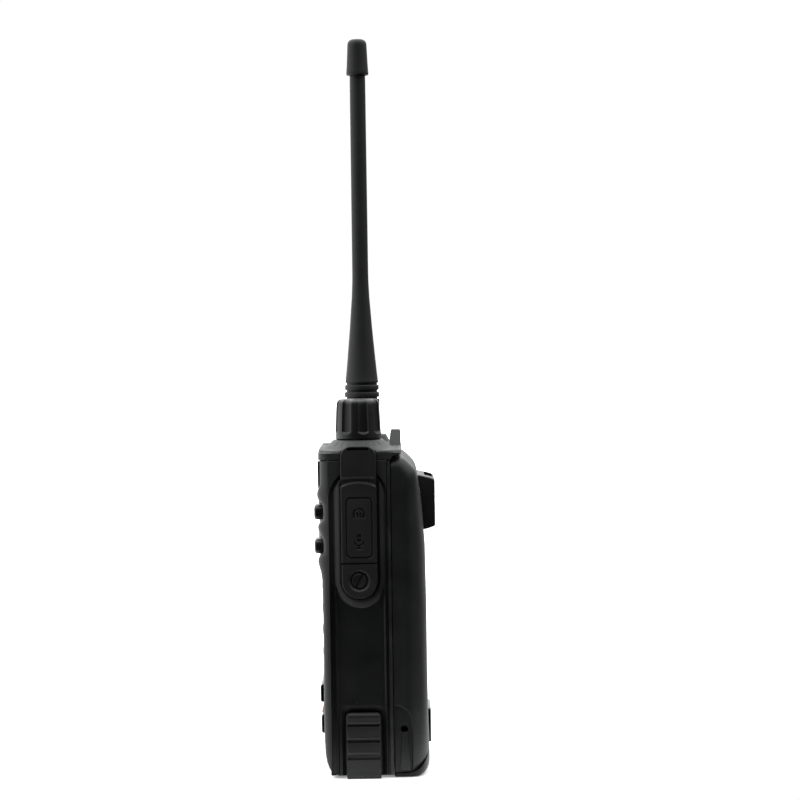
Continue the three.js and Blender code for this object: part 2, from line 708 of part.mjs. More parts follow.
function speaker() {
  const driver = new THREE.LatheGeometry([
    new THREE.Vector2(0, 0),
    new THREE.Vector2(4, -0.6),
    new THREE.Vector2(12.4, 1.4),
    new THREE.Vector2(12.9, 0.7),
    new THREE.Vector2(12.9, -1.2),
    new THREE.Vector2(8.5, -1.9),
    new THREE.Vector2(0, -1.9),
  ], 28);
  driver.rotateX(Math.PI);
  return solid(driver.translate(0, CAVITY_FRONT + 1.7, 21.8));
}

function speakerGrille() {
  const plate = sweepY(
    rounded(-GRILLE.halfWidth, GRILLE.halfWidth, GRILLE.low, GRILLE.high, 1.5),
    FACE_Y - 0.2, FACE_Y + 0.6, 3);
  const bar = (low, high, front) => sweepX(polygon([
    [FACE_Y, low],
    [front, low + 0.3],
    [front, high - 0.6],
    [front + 0.7, high],
    [FACE_Y, high],
  ]), -GRILLE.halfWidth, GRILLE.halfWidth);
  let grille = plate.add(bar(23.75, 29.9, -19.4)).add(bar(13.2, 19.7, -19.2));
  for (let i = -4; i <= 4; i += 1) {
    grille = grille.subtract(block([i * 3.2 - 0.9, -21, 21.3], [i * 3.2 + 0.9, -15, 23.1]));
  }
  return grille;
}

function accentStrip() {
  return block([-16.6, -19, 20], [16.6, FACE_Y - 0.5, 20.9]);
}

function microphone() {
  return rodY(-20, 33.2, 2.2, CAVITY_FRONT + 0.3, CAVITY_FRONT + 2.2, 16);
}

function volumeEncoder() {
  return block([9.5, -11, 96.6], [22.5, 0.2, CAVITY_HIGH - GAP])
    .subtract(rodZ(KNOB.x, KNOB.y, SHAFT.radius + GAP, SHAFT.low - GAP, CASE_TOP));
}

function antennaSocket() {
  return rodZ(ANTENNA.x, ANTENNA.y, 3.9, 96, 107.6, 20)
    .add(block([-20.4, -9, 96], [-11.6, 0, 99]))
    .subtract(rodZ(ANTENNA.x, ANTENNA.y, 2.6, 101.4, 108));
}

function antennaPlug() {
  return rodZ(0, 0, 2.3, 101.7, 108.4, 16).add(rodZ(0, 0, 3.1, 108, 115.2, 6));
}

// ---- chassis ---------------------------------------------------------------------------------

const CHASSIS_SCREW = { x: 22.6, z: 98.4 };
const TERMINALS = { halfWidth: 8.6, low: 11, high: 18.4 };

function rearChassis() {
  const plate = sweepY(rounded(-28.7, 28.7, CASE_BOTTOM, CASE_TOP, 0.6), CHASSIS_FLANGE, CHASSIS_BACK, 2);
  const tray = block([-26, 0.6, 4.8], [26, CHASSIS_FLANGE + 0.5, 103.2]);
  let chassis = plate
    .add(tray)
    .subtract(block([-24, 0, 6.8], [24, 2.8, 101.2]))
    .subtract(block(
      [-TERMINALS.halfWidth - GAP, 0, TERMINALS.low - GAP],
      [TERMINALS.halfWidth + GAP, 10, TERMINALS.high + GAP],
    ));
  for (const side of [-1, 1]) {
    const x = side * CHASSIS_SCREW.x;
    chassis = chassis
      .add(rodY(x, CHASSIS_SCREW.z, 3.4, 0.9, 2.9, 16))
      .subtract(rodY(x, CHASSIS_SCREW.z, 1.3, 0, 6, 12))
      .subtract(rodY(x, CHASSIS_SCREW.z, 2.3, 3.9, 6, 16));
  }
  return chassis;
}

function chassisSeal() {
  const ring = (inside, low, high) => block([-inside, 2.6, low], [inside, CASE_BACK, high]);
  return ring(27.2, 3.6, 104.4).subtract(block([-26.3, 2, 4.5], [26.3, 5, 103.5]));
}

function chassisScrew() {
  return rodY(0, 0, 1, 1, 4.3, 12)
    .add(rodY(0, 0, 2, 4.2, CHASSIS_BACK - 0.1, 16))
    .subtract(block([-0.3, CHASSIS_BACK - 0.6, -1.4], [0.3, 7, 1.4]))
    .subtract(block([-1.4, CHASSIS_BACK - 0.6, -0.3], [1.4, 7, 0.3]));
}

function terminalBlock() {
  let body = block([-TERMINALS.halfWidth, 1, TERMINALS.low], [TERMINALS.halfWidth, 4.9, TERMINALS.high]);
  for (let i = 0; i < 4; i += 1) {
    const x = -6 + 4 * i;
    body = body.add(block([x - 0.8, 4.5, 12.6], [x + 0.8, CHASSIS_BACK + 0.1, 16.8]));
  }
  return body;
}

// ---- battery ---------------------------------------------------------------------------------

const SHOULDER = [
  [BATTERY_FRONT, BATTERY_TOP],
  [8.3, BATTERY_TOP + 1.3],
  [9, BATTERY_TOP + 1.1],
  [11.3, 105],
  [13.4, 102.8],
  [14.2, 101.2],
  [14.6, 98.6],
  [15.7, 90],
  [16.5, 77.3],
  [16.8, 57],
  [16.8, 36],
  [16.9, 16],
];
const LIP = { radius: 4.6, back: 17.2, top: 6.6, thick: 1.4 };
const BACK_EDGE = 7;             // how far in the sides start to round into the back
const DISH = { front: 6.5, back: 10.9, high: 17.9 };
const LANYARD = { y: 8.5, z: 15.9 };

// The side view of the cover: it stops above the lip of the tray in a long curve.
function batteryProfile(inset) {
  const skin = SHOULDER.map(([y, z]) => [y - (y > 7 ? inset : 0), z - (z > 100 ? inset : 0)]);
  return polygon([
    ...skin,
    [16.9 - inset, 7.2],
    [15.6 - inset, 4.4 + inset],
    [13.4 - inset, 2.6 + inset],
    [10.6, 1.9 + inset],
    [BATTERY_FRONT, 1.9 + inset],
  ]);
}

// The plan of the cover: straight flanks that round over into the back.
function batteryPlan(inset) {
  const side = BATTERY_HALF_WIDTH - inset;
  const back = 17.3 - inset;
  const edge = BACK_EDGE - inset;
  const shape = new THREE.Shape();
  shape.moveTo(-side, BATTERY_FRONT);
  shape.lineTo(side, BATTERY_FRONT);
  shape.lineTo(side, back - edge);
  shape.absellipse(side - 1.7 * edge, back - edge, 1.7 * edge, edge, 0, Math.PI / 2, false);
  shape.lineTo(-side + 1.7 * edge, back);
  shape.absellipse(-side + 1.7 * edge, back - edge, 1.7 * edge, edge, Math.PI / 2, Math.PI, false);
  return shape;
}

function batteryCover() {
  const outer = sweepZ(batteryPlan(0), 0, BATTERY_TOP, 7)
    .intersect(sweepX(batteryProfile(0), -40, 40));
  const inner = sweepZ(batteryPlan(BATTERY_WALL), 0, BATTERY_TOP, 5)
    .intersect(sweepX(batteryProfile(BATTERY_WALL), -40, 40))
    .add(block([-26.6, BATTERY_FRONT - 1, 0], [26.6, 7.2, 103.6]));
  let cover = outer.subtract(inner);
  const dish = rounded(DISH.front, DISH.back, -4, DISH.high, [0, 0, 3, 1.2]);
  for (const side of [-1, 1]) {
    const [near, far] = side > 0 ? [28.2, 40] : [-40, -28.2];
    cover = cover
      .subtract(sweepX(dish, near, far, 4))
      .subtract(rodX(LANYARD.y, LANYARD.z, 1.2, side > 0 ? 27.6 : -40, side > 0 ? 40 : -27.6, 12));
  }
  for (const x of [-BRACKET_SCREW_X, BRACKET_SCREW_X]) {
    cover = cover.subtract(rodY(x, BRACKET_SCREW_Z, 1.2, 8, 20, 12));
  }
  const port = CHARGE_PORT;
  return cover.subtract(block(
    [-port.halfWidth - GAP, 8, port.low - GAP],
    [port.halfWidth + GAP, 20, port.high + GAP],
  ));
}

// The tray closes the battery: a front plate, a floor and the lip that shows under the cover.
function batteryTray() {
  const lip = new THREE.Shape();
  lip.moveTo(BATTERY_FRONT, 0);
  lip.lineTo(LIP.back - LIP.radius, 0);
  lip.absarc(LIP.back - LIP.radius, LIP.radius, LIP.radius, -Math.PI / 2, 0);
  lip.lineTo(LIP.back + 0.1, LIP.top);
  lip.lineTo(LIP.back - 0.25, LIP.top);
  lip.lineTo(15.8, 4.1);
  lip.lineTo(13.5, 2.3);
  lip.lineTo(10.6, 1.6);
  lip.lineTo(BATTERY_FRONT, 1.6);
  const half = BATTERY_HALF_WIDTH;
  const plan = rounded(-half, half, BATTERY_FRONT - 0.1, LIP.back + 0.1, [0.4, 0.4, 8, 8]);
  return sweepX(lip, -half, half)
    .intersect(sweepZ(plan, -1, 20, 6))
    .add(block([-26.3, BATTERY_FRONT, 0], [26.3, BATTERY_FRONT + 1.4, 103.3]))
    .subtract(block(
      [-CONTACTS.halfWidth - GAP, 0, CONTACTS.low - GAP],
      [CONTACTS.halfWidth + GAP, 8, CONTACTS.high + GAP],
    ));
}

function contactStrip() {
  let strip = block([-CONTACTS.halfWidth, 6.1, CONTACTS.low], [CONTACTS.halfWidth, 7.6, CONTACTS.high]);
  for (let i = 0; i < 4; i += 1) {
    const x = -6 + 4 * i;
    strip = strip.add(block([x - 1.2, 5.8, 12.2], [x + 1.2, 6.3, 17.2]));
  }
  return strip;
}

function cell() {
  return sweepZ(rounded(-11, 11, 8.2, 13.4, 2), 22, 88, 4);
}

const CHARGE_PIN_X = 5;

function chargePort() {
  const port = CHARGE_PORT;
  const section = polygon([
    [14.4, port.low],
    [port.back - 0.6, port.low],
    [port.back, port.low + 1.2],
    [port.back - 0.6, port.low + 2],
    [port.back - 0.6, port.high - 2],
    [port.back, port.high - 1.2],
    [port.back - 0.6, port.high],
    [14.4, port.high],
  ]);
  let body = sweepX(section, -port.halfWidth, port.halfWidth);
  for (const x of [-CHARGE_PIN_X, CHARGE_PIN_X]) {
    body = body.subtract(rodY(x, 13.9, 2.9, 16, 20, 16));
  }
  return body;
}

function chargePin() {
  return rodY(0, 13.9, 2.6, 16.3, CHARGE_PORT.back - 0.4, 20);
}

const BRACKET = { halfWidth: 13, high: 100 };

// The raised seat that a belt clip slides into from above.
function clipBracket() {
  const side = polygon([
    [14.9, 100.2],
    [19.6, 98.9],
    [20.3, 98.2],
    [20.3, 83],
    [19.9, 82.5],
    [16.6, 81.5],
  ]);
  let bracket = sweepX(side, -BRACKET.halfWidth, BRACKET.halfWidth)
    .subtract(sweepX(polygon([[16.8, 110], [18.6, 110], [18.6, 86], [17, 86]]), -8.4, 8.4));
  for (const x of [-BRACKET_SCREW_X, BRACKET_SCREW_X]) {
    bracket = bracket
      .subtract(rodY(x, BRACKET_SCREW_Z, 1.2, 10, 30, 12))
      .subtract(rodY(x, BRACKET_SCREW_Z, 1.9, 19.2, 30, 16));
  }
  return bracket.subtract(sweepX(batteryProfile(-GAP), -40, 40));
}

function bracketScrew() {
  return rodY(0, 0, 0.9, 14.4, 19.5, 12)
    .add(rodY(0, 0, 1.6, 19.5, 20.1, 16))
    .subtract(block([-0.25, 19.7, -1], [0.25, 22, 1]));
}

// ---- put together ----------------------------------------------------------------------------

addPart('front_case', frontCase(), 'casePlastic');
addPart('rear_chassis', rearChassis(), 'chassisMetal');
addPart('chassis_seal', chassisSeal(), 'rubber');
addPart('top_cover', topCover(), 'casePlastic');
addPart('display_lens', displayLens(), 'glossPlastic');
addPart('display_module', displayModule(), 'glossPlastic');
addPart('keypad_mat', keypadMat(), 'rubber');
addPart('main_board', mainBoard(), 'circuitBoard');
addPart('speaker', speaker(), 'steel');
addPart('speaker_grille', speakerGrille(), 'glossPlastic');
addPart('accent_strip', accentStrip(), 'orangePlastic');
addPart('microphone', microphone(), 'steel');
addPart('volume_encoder', volumeEncoder(), 'steel');
addPart('antenna_socket', antennaSocket(), 'gold');
addPart('jack_block', jackBlock(), 'glossPlastic');
addPart('indicator_lens', indicatorLens(), 'lensPlastic');
addPart('terminal_block', terminalBlock(), 'glossPlastic');
addPart('side_bezel', sideBezel(), 'rubber');
addPart('chassis_screw_left', chassisScrew(), 'steel', [-CHASSIS_SCREW.x, 0, CHASSIS_SCREW.z]);
addPart('chassis_screw_right', chassisScrew(), 'steel', [CHASSIS_SCREW.x, 0, CHASSIS_SCREW.z]);
addPart('battery_cover', batteryCover(), 'batteryPlastic');
addPart('battery_tray', batteryTray(), 'glossPlastic');
addPart('battery_cell_left', cell(), 'cellWrap', [-12, 0, 0]);
addPart('battery_cell_right', cell(), 'cellWrap', [12, 0, 0]);
addPart('contact_strip', contactStrip(), 'gold');
addPart('charge_port', chargePort(), 'glossPlastic');
addPart('charge_pin_left', chargePin(), 'gold', [-CHARGE_PIN_X, 0, 0]);
addPart('charge_pin_right', chargePin(), 'gold', [CHARGE_PIN_X, 0, 0]);
addPart('clip_bracket', clipBracket(), 'glossPlastic');
addPart('bracket_screw_left', bracketScrew(), 'steel', [-BRACKET_SCREW_X, 0, BRACKET_SCREW_Z]);
addPart('bracket_screw_right', bracketScrew(), 'steel', [BRACKET_SCREW_X, 0, BRACKET_SCREW_Z]);
addPart('battery_latch', batteryLatch(), 'casePlastic');
addPart('antenna_whip', antennaWhip(), 'rubber', [ANTENNA.x, ANTENNA.y, 0]);
addPart('antenna_cap', antennaCap(), 'rubber', [ANTENNA.x, ANTENNA.y, 0]);
addPart('antenna_plug', antennaPlug(), 'gold', [ANTENNA.x, ANTENNA.y, 0]);
addPart('volume_knob', volumeKnob(), 'casePlastic', [KNOB.x, KNOB.y, 0]);
addPart('knob_shaft', knobShaft(), 'steel', [KNOB.x, KNOB.y, 0]);
addPart('alarm_key', alarmKey(), 'rubber');
addPart('jack_cover', jackCover(), 'rubber');
addPart('cover_screw', coverScrew(), 'steel', [0, COVER_SCREW.y, COVER_SCREW.z]);
for (const key of TALK_KEYS) {
  addPart(key.name, talkKey(key), 'rubber');
}
addFrontKeys();

export default radio;
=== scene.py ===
import json
import math

import bmesh
import bpy
import numpy as np
from mathutils import Matrix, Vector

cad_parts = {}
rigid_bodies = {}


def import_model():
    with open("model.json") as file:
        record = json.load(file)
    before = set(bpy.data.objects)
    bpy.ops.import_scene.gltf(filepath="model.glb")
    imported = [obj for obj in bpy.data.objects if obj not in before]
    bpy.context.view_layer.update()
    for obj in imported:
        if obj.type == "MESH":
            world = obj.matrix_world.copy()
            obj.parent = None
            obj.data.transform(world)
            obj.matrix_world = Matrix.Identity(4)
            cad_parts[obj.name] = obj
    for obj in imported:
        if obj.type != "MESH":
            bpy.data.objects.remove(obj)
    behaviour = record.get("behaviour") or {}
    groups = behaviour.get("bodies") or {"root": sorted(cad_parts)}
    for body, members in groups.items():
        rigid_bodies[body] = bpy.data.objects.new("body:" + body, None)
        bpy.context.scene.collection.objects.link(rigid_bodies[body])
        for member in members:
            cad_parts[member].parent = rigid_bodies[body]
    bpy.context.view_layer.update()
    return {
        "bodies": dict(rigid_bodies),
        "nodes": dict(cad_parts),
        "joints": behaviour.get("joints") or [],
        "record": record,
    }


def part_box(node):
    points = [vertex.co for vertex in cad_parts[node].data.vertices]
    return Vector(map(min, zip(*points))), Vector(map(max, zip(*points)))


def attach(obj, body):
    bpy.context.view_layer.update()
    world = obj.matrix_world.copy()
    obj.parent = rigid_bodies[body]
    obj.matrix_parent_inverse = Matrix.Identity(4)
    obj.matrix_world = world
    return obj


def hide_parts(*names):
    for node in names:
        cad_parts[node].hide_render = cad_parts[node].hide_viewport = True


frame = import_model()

scene = bpy.context.scene
MM = 0.001                      # lengths below are in millimetres, Blender's are in metres


# ---- camera ----------------------------------------------------------------------------------

CAMERA_AT = (750, 8.88, 149.3)
CAMERA_PITCH = 1.84             # degrees downwards
CAMERA_ROLL = 0.8               # degrees; the top of the radio leans to the left
CAMERA_LENS = 97.8


def add_camera():
    pitch, roll = math.radians(CAMERA_PITCH), math.radians(CAMERA_ROLL)
    back = np.array((math.cos(pitch), 0, math.sin(pitch)))
    level_right = np.array((0, 1, 0))
    level_up = np.cross(back, level_right)
    right = level_right * math.cos(roll) - level_up * math.sin(roll)
    up = level_up * math.cos(roll) + level_right * math.sin(roll)
    data = bpy.data.cameras.new("camera")
    data.lens = CAMERA_LENS
    data.sensor_width = 36
    data.clip_start = 0.01
    data.clip_end = 20
    camera = bpy.data.objects.new("camera", data)
    scene.collection.objects.link(camera)
    turn = Matrix((right, up, back)).transposed().to_4x4()
    turn.translation = [value * MM for value in CAMERA_AT]
    camera.matrix_world = turn
    scene.camera = camera


add_camera()


# ---- helpers: meshes -------------------------------------------------------------------------

PLANE = {"X": (1, 2), "Y": (0, 2), "Z": (0, 1)}     # the two axes seen when looking along the third


def span(node):
    """Lowest and highest corner of a CAD node, in millimetres."""
    low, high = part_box(node)
    return np.array(low) / MM, np.array(high) / MM


def smooth(low, high, value):
    """0 below low, 1 above high, with a soft ramp between."""
    t = np.clip((value - low) / (high - low), 0, 1)
    return t * t * (3 - 2 * t)


def band(value, low, high, soft=0.15):
    """1 between low and high, 0 outside, with soft ends."""
    return smooth(low - soft / 2, low + soft / 2, value) - smooth(high - soft / 2, high + soft / 2, value)


def mesh_object(name, points, faces):
    data = bpy.data.meshes.new(name)
    data.from_pydata((np.asarray(points, float) * MM).tolist(), [], faces)
    shell = bmesh.new()
    shell.from_mesh(data)
    bmesh.ops.remove_doubles(shell, verts=shell.verts, dist=1e-7)
    bmesh.ops.recalc_face_normals(shell, faces=shell.faces)
    shell.to_mesh(data)
    shell.free()
    piece = bpy.data.objects.new(name, data)
    scene.collection.objects.link(piece)
    return piece


def loft(name, rings):
    """A closed skin over rings that all have the same number of points."""
    count = len(rings[0])
    points = np.concatenate(rings)
    last = len(points) - count
    faces = [tuple(range(count)), tuple(range(last, last + count))]
    for start in range(0, last, count):
        for i in range(count):
            j = (i + 1) % count
            faces.append((start + i, start + j, start + count + j, start + count + i))
    return mesh_object(name, points, faces)


def to_space(axis, flat, depth):
    """2-D points put at a depth along an axis: (y, z) for X, (x, z) for Y, (x, y) for Z."""
    flat = np.asarray(flat, float)
    a, b = flat[:, 0], flat[:, 1]
    d = np.full(len(a), float(depth))
    return np.stack({"X": (d, a, b), "Y": (a, d, b), "Z": (a, b, d)}[axis], axis=1)


def rounded_rect(a0, a1, b0, b1, radii, steps=6):
    """An outline that can be asked for at any inset."""
    if not hasattr(radii, "__len__"):
        radii = (radii,) * 4
    signs = ((1, 1), (-1, 1), (-1, -1), (1, -1))

    def outline(inset=0.0):
        corners = ((a0 + inset, b0 + inset), (a1 - inset, b0 + inset),
                   (a1 - inset, b1 - inset), (a0 + inset, b1 - inset))
        points = []
        for k, ((a, b), (sa, sb)) in enumerate(zip(corners, signs)):
            radius = max(radii[k] - inset, 0.02)
            for step in range(steps + 1):
                angle = math.pi * (1 + k / 2) + math.pi / 2 * step / steps
                points.append((a + sa * radius + radius * math.cos(angle),
                               b + sb * radius + radius * math.sin(angle)))
        return np.array(points)
    return outline


def node_outline(node, axis, grow, radius, steps=6):
    """The box of a CAD node seen along an axis, grown all round and with rounded corners."""
    low, high = span(node)
    a, b = PLANE[axis]
    return rounded_rect(low[a] - grow, high[a] + grow, low[b] - grow, high[b] + grow, radius, steps)


def ellipse(a, b, radius_a, radius_b=None, steps=40):
    radius_b = radius_b or radius_a

    def outline(inset=0.0):
        angle = np.linspace(0, 2 * math.pi, steps, endpoint=False)
        return np.stack((a + (radius_a - inset) * np.cos(angle), b + (radius_b - inset) * np.sin(angle)), 1)
    return outline


def mitred(points):
    """A convex or mildly concave outline, counter-clockwise, that insets along its mitres."""
    points = np.array(points, float)
    before = points - np.roll(points, 1, axis=0)
    after = np.roll(points, -1, axis=0) - points
    inward = [np.stack((-edge[:, 1], edge[:, 0]), 1) / np.linalg.norm(edge, axis=1)[:, None]
              for edge in (before, after)]
    push = (inward[0] + inward[1]) / (1 + (inward[0] * inward[1]).sum(1))[:, None]

    def outline(inset=0.0):
        return points + push * inset
    return outline


def softened(low, high, soft_low, soft_high, steps=3):
    """(inset, position) pairs along a prism with rounded ends."""
    pairs = []
    for soft, end, side in ((soft_low, low, 1), (soft_high, high, -1)):
        angles = np.linspace(0, math.pi / 2, steps + 1) if soft else [math.pi / 2]
        rows = [(soft * (1 - math.sin(t)), end + side * soft * (1 - math.cos(t))) for t in angles]
        pairs += rows[::side]
    return pairs


def prism(name, outline, axis, low, high, soft=(0.0, 0.0), steps=3):
    rings = [to_space(axis, outline(inset), at) for inset, at in softened(low, high, *soft, steps)]
    return loft(name, rings)


def flared(name, axis, stages):
    """A skin through (outline points, depth) stages."""
    return loft(name, [to_space(axis, flat, depth) for flat, depth in stages])


def box_piece(name, low, high):
    outline = rounded_rect(low[0], high[0], low[1], high[1], 0.0, steps=1)
    flat = outline()[[0, 2, 4, 6]]
    return flared(name, "Z", [(flat, low[2]), (flat, high[2])])


def lathe(name, profile, x, y, segments=72):
    """profile is (radius, z) from the axis out and back to the axis."""
    angle = np.linspace(0, 2 * math.pi, segments, endpoint=False)
    rings = []
    for radius, z in profile:
        radius = max(radius, 0.01)
        rings.append(np.stack((x + radius * np.cos(angle), y + radius * np.sin(angle),
                               np.full(segments, float(z))), 1))
    return loft(name, rings)


def relief_slab(name, axis, a_lines, b_lines, height, floor):
    """A block whose face at one end follows height(a, b)."""
    a, b = np.meshgrid(a_lines, b_lines, indexing="ij")
    depth = height(a, b)
    flat = np.stack((a.ravel(), b.ravel()), 1)
    top = to_space(axis, flat, 0)
    slot = "XYZ".index(axis)
    top[:, slot] = depth.ravel()
    rows, columns = a.shape
    index = np.arange(rows * columns).reshape(rows, columns)
    quads = np.stack((index[:-1, :-1], index[1:, :-1], index[1:, 1:], index[:-1, 1:]), -1).reshape(-1, 4)
    border = np.concatenate((index[:-1, 0], index[-1, :-1], index[:0:-1, -1], index[0, :0:-1]))
    under = top[border].copy()
    under[:, slot] = floor
    first = len(top)
    faces = [tuple(q) for q in quads.tolist()]
    count = len(border)
    for i in range(count):
        j = (i + 1) % count
        faces.append((int(border[i]), int(border[j]), first + j, first + i))
    faces.append(tuple(range(first, first + count)))
    return mesh_object(name, np.concatenate((top, under)), faces)


def bake(piece):
    """Applies the modifiers."""
    graph = bpy.context.evaluated_depsgraph_get()
    data = bpy.data.meshes.new_from_object(piece.evaluated_get(graph))
    old = piece.data
    piece.modifiers.clear()
    piece.data = data
    bpy.data.meshes.remove(old)


def remove(piece):
    data = piece.data
    bpy.data.objects.remove(piece)
    bpy.data.meshes.remove(data)


def combine(piece, tools, operation="DIFFERENCE"):
    """Cuts the tools from a piece, joins them to it or keeps what they share, and removes them."""
    for tool in tools:
        step = piece.modifiers.new("step", "BOOLEAN")
        step.operation = operation
        step.solver = "MANIFOLD"
        step.object = tool
        bake(piece)
        remove(tool)


def merge(name, pieces):
    """Separate closed shells that don't touch, as one object."""
    points, faces = [], []
    for piece in pieces:
        start = len(points)
        points += [tuple(c / MM for c in v.co) for v in piece.data.vertices]
        faces += [tuple(start + i for i in p.vertices) for p in piece.data.polygons]
        remove(piece)
    return mesh_object(name, points, faces)


def hand_in(piece, body, nodes, finish, sharp=34):
    """Shades a piece, gives it its finish and lets it stand for its CAD nodes."""
    shade(piece.data, sharp)
    piece.data.materials.clear()
    piece.data.materials.append(FINISHES[finish])
    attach(piece, body)
    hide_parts(*nodes)


def shade(data, sharp):
    data.shade_smooth()
    data.set_sharp_from_angle(angle=math.radians(sharp))


# ---- helpers: materials ----------------------------------------------------------------------

class Nodes:
    """A short way to write a node tree."""

    def __init__(self, tree):
        self.tree = tree

    def add(self, kind, inputs=None, **settings):
        node = self.tree.nodes.new(kind)
        for key, value in settings.items():
            setattr(node, key, value)
        for key, value in (inputs or {}).items():
            if isinstance(value, bpy.types.NodeSocket):
                self.tree.links.new(value, node.inputs[key])
            else:
                node.inputs[key].default_value = value
        return node

    def noise(self, vector, size, detail=2.0, rough=0.5):
        """Noise whose grains are about size millimetres wide."""
        return self.add("ShaderNodeTexNoise", {
            "Vector": vector, "Scale": 1 / (size * MM), "Detail": detail, "Roughness": rough,
        }).outputs["Fac"]

    def span(self, value, low, high, to_low=0.0, to_high=1.0):
        return self.add("ShaderNodeMapRange", {
            "Value": value, "From Min": low, "From Max": high, "To Min": to_low, "To Max": to_high,
        }).outputs["Result"]

    def mix(self, factor, one, two):
        """Blends two colours; 6, 7 and 2 are the node's colour sockets."""
        return self.add("ShaderNodeMix", {0: factor, 6: one, 7: two}, data_type="RGBA").outputs[2]

    def math(self, operation, one, two):
        return self.add("ShaderNodeMath", {0: one, 1: two}, operation=operation).outputs[0]


FINISHES = {}                   # every material of this script by its name


def rgb(red, green, blue):
    return (red, green, blue, 1.0)


def surface(name, dark, light, rough, grain=0.28, depth=0.012, wave=0.0, dust=0.0, sockets=None,
            stretch=None, painted_top_light=None):
    """A mottled, grained finish.

    dark and light are the two ends of the colour, rough the two ends of the roughness, grain the
    width and depth the height of the texture in millimetres, and dust the share of pale specks.
    An optional second pair of colours takes over towards the top of the radio: this is painted light, a
    lighter top standing in for the brighter light that falls there.
    """
    material = bpy.data.materials.new(name)
    material.use_nodes = True
    tree = material.node_tree
    tree.nodes.clear()
    make = Nodes(tree)
    where = make.add("ShaderNodeTexCoord").outputs["Object"]
    if stretch:
        where = make.add("ShaderNodeMapping", {"Vector": where, "Scale": stretch}).outputs["Vector"]
    cloud = make.noise(where, 9.0, 4.0)
    fine = make.noise(where, grain, 3.0, 0.6)
    mottle = make.span(make.math("ADD", cloud, make.math("MULTIPLY", fine, 0.7)), 0.55, 1.15)
    colour = make.mix(mottle, dark, light)
    if painted_top_light:
        # painted light: the colour turns lighter between 62 and 84 mm up, standing in for the brighter
        # light on the top of the radio
        height = make.add("ShaderNodeSeparateXYZ", {"Vector": where}).outputs["Z"]
        colour = make.mix(make.span(height, 0.062, 0.084), colour, make.mix(mottle, *painted_top_light))
    if dust:
        cells = make.add("ShaderNodeTexVoronoi", {"Vector": where, "Scale": 1 / (1.9 * MM)})
        near = make.span(cells.outputs["Distance"], 0.035, 0.085, 1.0, 0.0)
        chosen = make.span(make.add("ShaderNodeSeparateColor", {
            "Color": cells.outputs["Color"]}).outputs[0], 1 - dust, 1 - dust + 0.01)
        speck = make.math("MULTIPLY", near, chosen)
        colour = make.mix(make.math("MULTIPLY", speck, 0.55), colour, rgb(0.33, 0.32, 0.30))
    roughness = make.span(make.math("ADD", cloud, make.math("MULTIPLY", fine, 0.5)), 0.5, 1.0, *rough)
    bump = make.add("ShaderNodeBump", {"Height": fine, "Distance": depth * MM, "Strength": 1.0})
    if wave:
        bump = make.add("ShaderNodeBump", {
            "Height": make.noise(where, 6.0, 2.0), "Distance": wave * MM, "Strength": 1.0,
            "Normal": bump.outputs["Normal"]})
    shader = make.add("ShaderNodeBsdfPrincipled", {
        "Base Color": colour, "Roughness": roughness, "Normal": bump.outputs["Normal"], **(sockets or {})})
    make.add("ShaderNodeOutputMaterial", {"Surface": shader.outputs["BSDF"]})
    FINISHES[name] = material
    return material


GREY_LOW, GREY_HIGH = rgb(0.0050, 0.0053, 0.0054), rgb(0.0080, 0.0084, 0.0085)
# the lighter pair of colours for the top of the case is painted light, standing in for the brighter light
# that falls on the top
surface("case_plastic", GREY_LOW, GREY_HIGH, (0.40, 0.52), grain=0.32, depth=0.02, dust=0.05,
        sockets={"Specular IOR Level": 0.36},
        painted_top_light=(rgb(0.0190, 0.0196, 0.0197), rgb(0.0255, 0.0262, 0.0264)))
surface("battery_plastic", rgb(0.0082, 0.0088, 0.0091), rgb(0.0116, 0.0123, 0.0127), (0.40, 0.52),
        grain=0.36, depth=0.04, dust=0.04, sockets={"Specular IOR Level": 0.4})
surface("tray_plastic", rgb(0.0024, 0.0024, 0.0025), rgb(0.0040, 0.0040, 0.0042), (0.34, 0.46),
        grain=0.5, depth=0.004, sockets={"Specular IOR Level": 0.24})
surface("latch_plastic", rgb(0.0044, 0.0046, 0.0046), rgb(0.0072, 0.0074, 0.0074), (0.48, 0.62),
        grain=0.3, depth=0.014, dust=0.03)
surface("bracket_plastic", rgb(0.0086, 0.0086, 0.0086), rgb(0.0128, 0.0128, 0.0128), (0.34, 0.46),
        grain=0.3, depth=0.006)
surface("knob_plastic", rgb(0.0078, 0.0080, 0.0080), rgb(0.0112, 0.0115, 0.0115), (0.3, 0.42),
        grain=0.3, depth=0.006, dust=0.04)
surface("gloss_plastic", rgb(0.0012, 0.0012, 0.0014), rgb(0.0028, 0.0028, 0.0030), (0.16, 0.26),
        grain=0.6, depth=0.002)
surface("gloss_lens", rgb(0.0008, 0.0008, 0.0010), rgb(0.0016, 0.0016, 0.0018), (0.05, 0.11), grain=1.2,
        depth=0.0006, sockets={"Coat Weight": 0.6, "Coat Roughness": 0.04})
surface("window_glass", rgb(0.030, 0.036, 0.030), rgb(0.038, 0.045, 0.037), (0.06, 0.12), grain=0.9,
        depth=0.0006, sockets={"Coat Weight": 0.8, "Coat Roughness": 0.03})
surface("gloss_key", rgb(0.0064, 0.0065, 0.0067), rgb(0.0100, 0.0102, 0.0104), (0.22, 0.34), grain=0.5,
        depth=0.003)
surface("key_rubber", rgb(0.0048, 0.0048, 0.0050), rgb(0.0084, 0.0084, 0.0086), (0.5, 0.64), grain=0.3,
        depth=0.008, sockets={"Sheen Weight": 0.06})
surface("cover_rubber", rgb(0.0034, 0.0035, 0.0034), rgb(0.0056, 0.0058, 0.0057), (0.5, 0.64),
        grain=0.25, depth=0.008, dust=0.06, sockets={"Sheen Weight": 0.05})
surface("seal_rubber", rgb(0.0080, 0.0080, 0.0080), rgb(0.035, 0.034, 0.033), (0.6, 0.75))
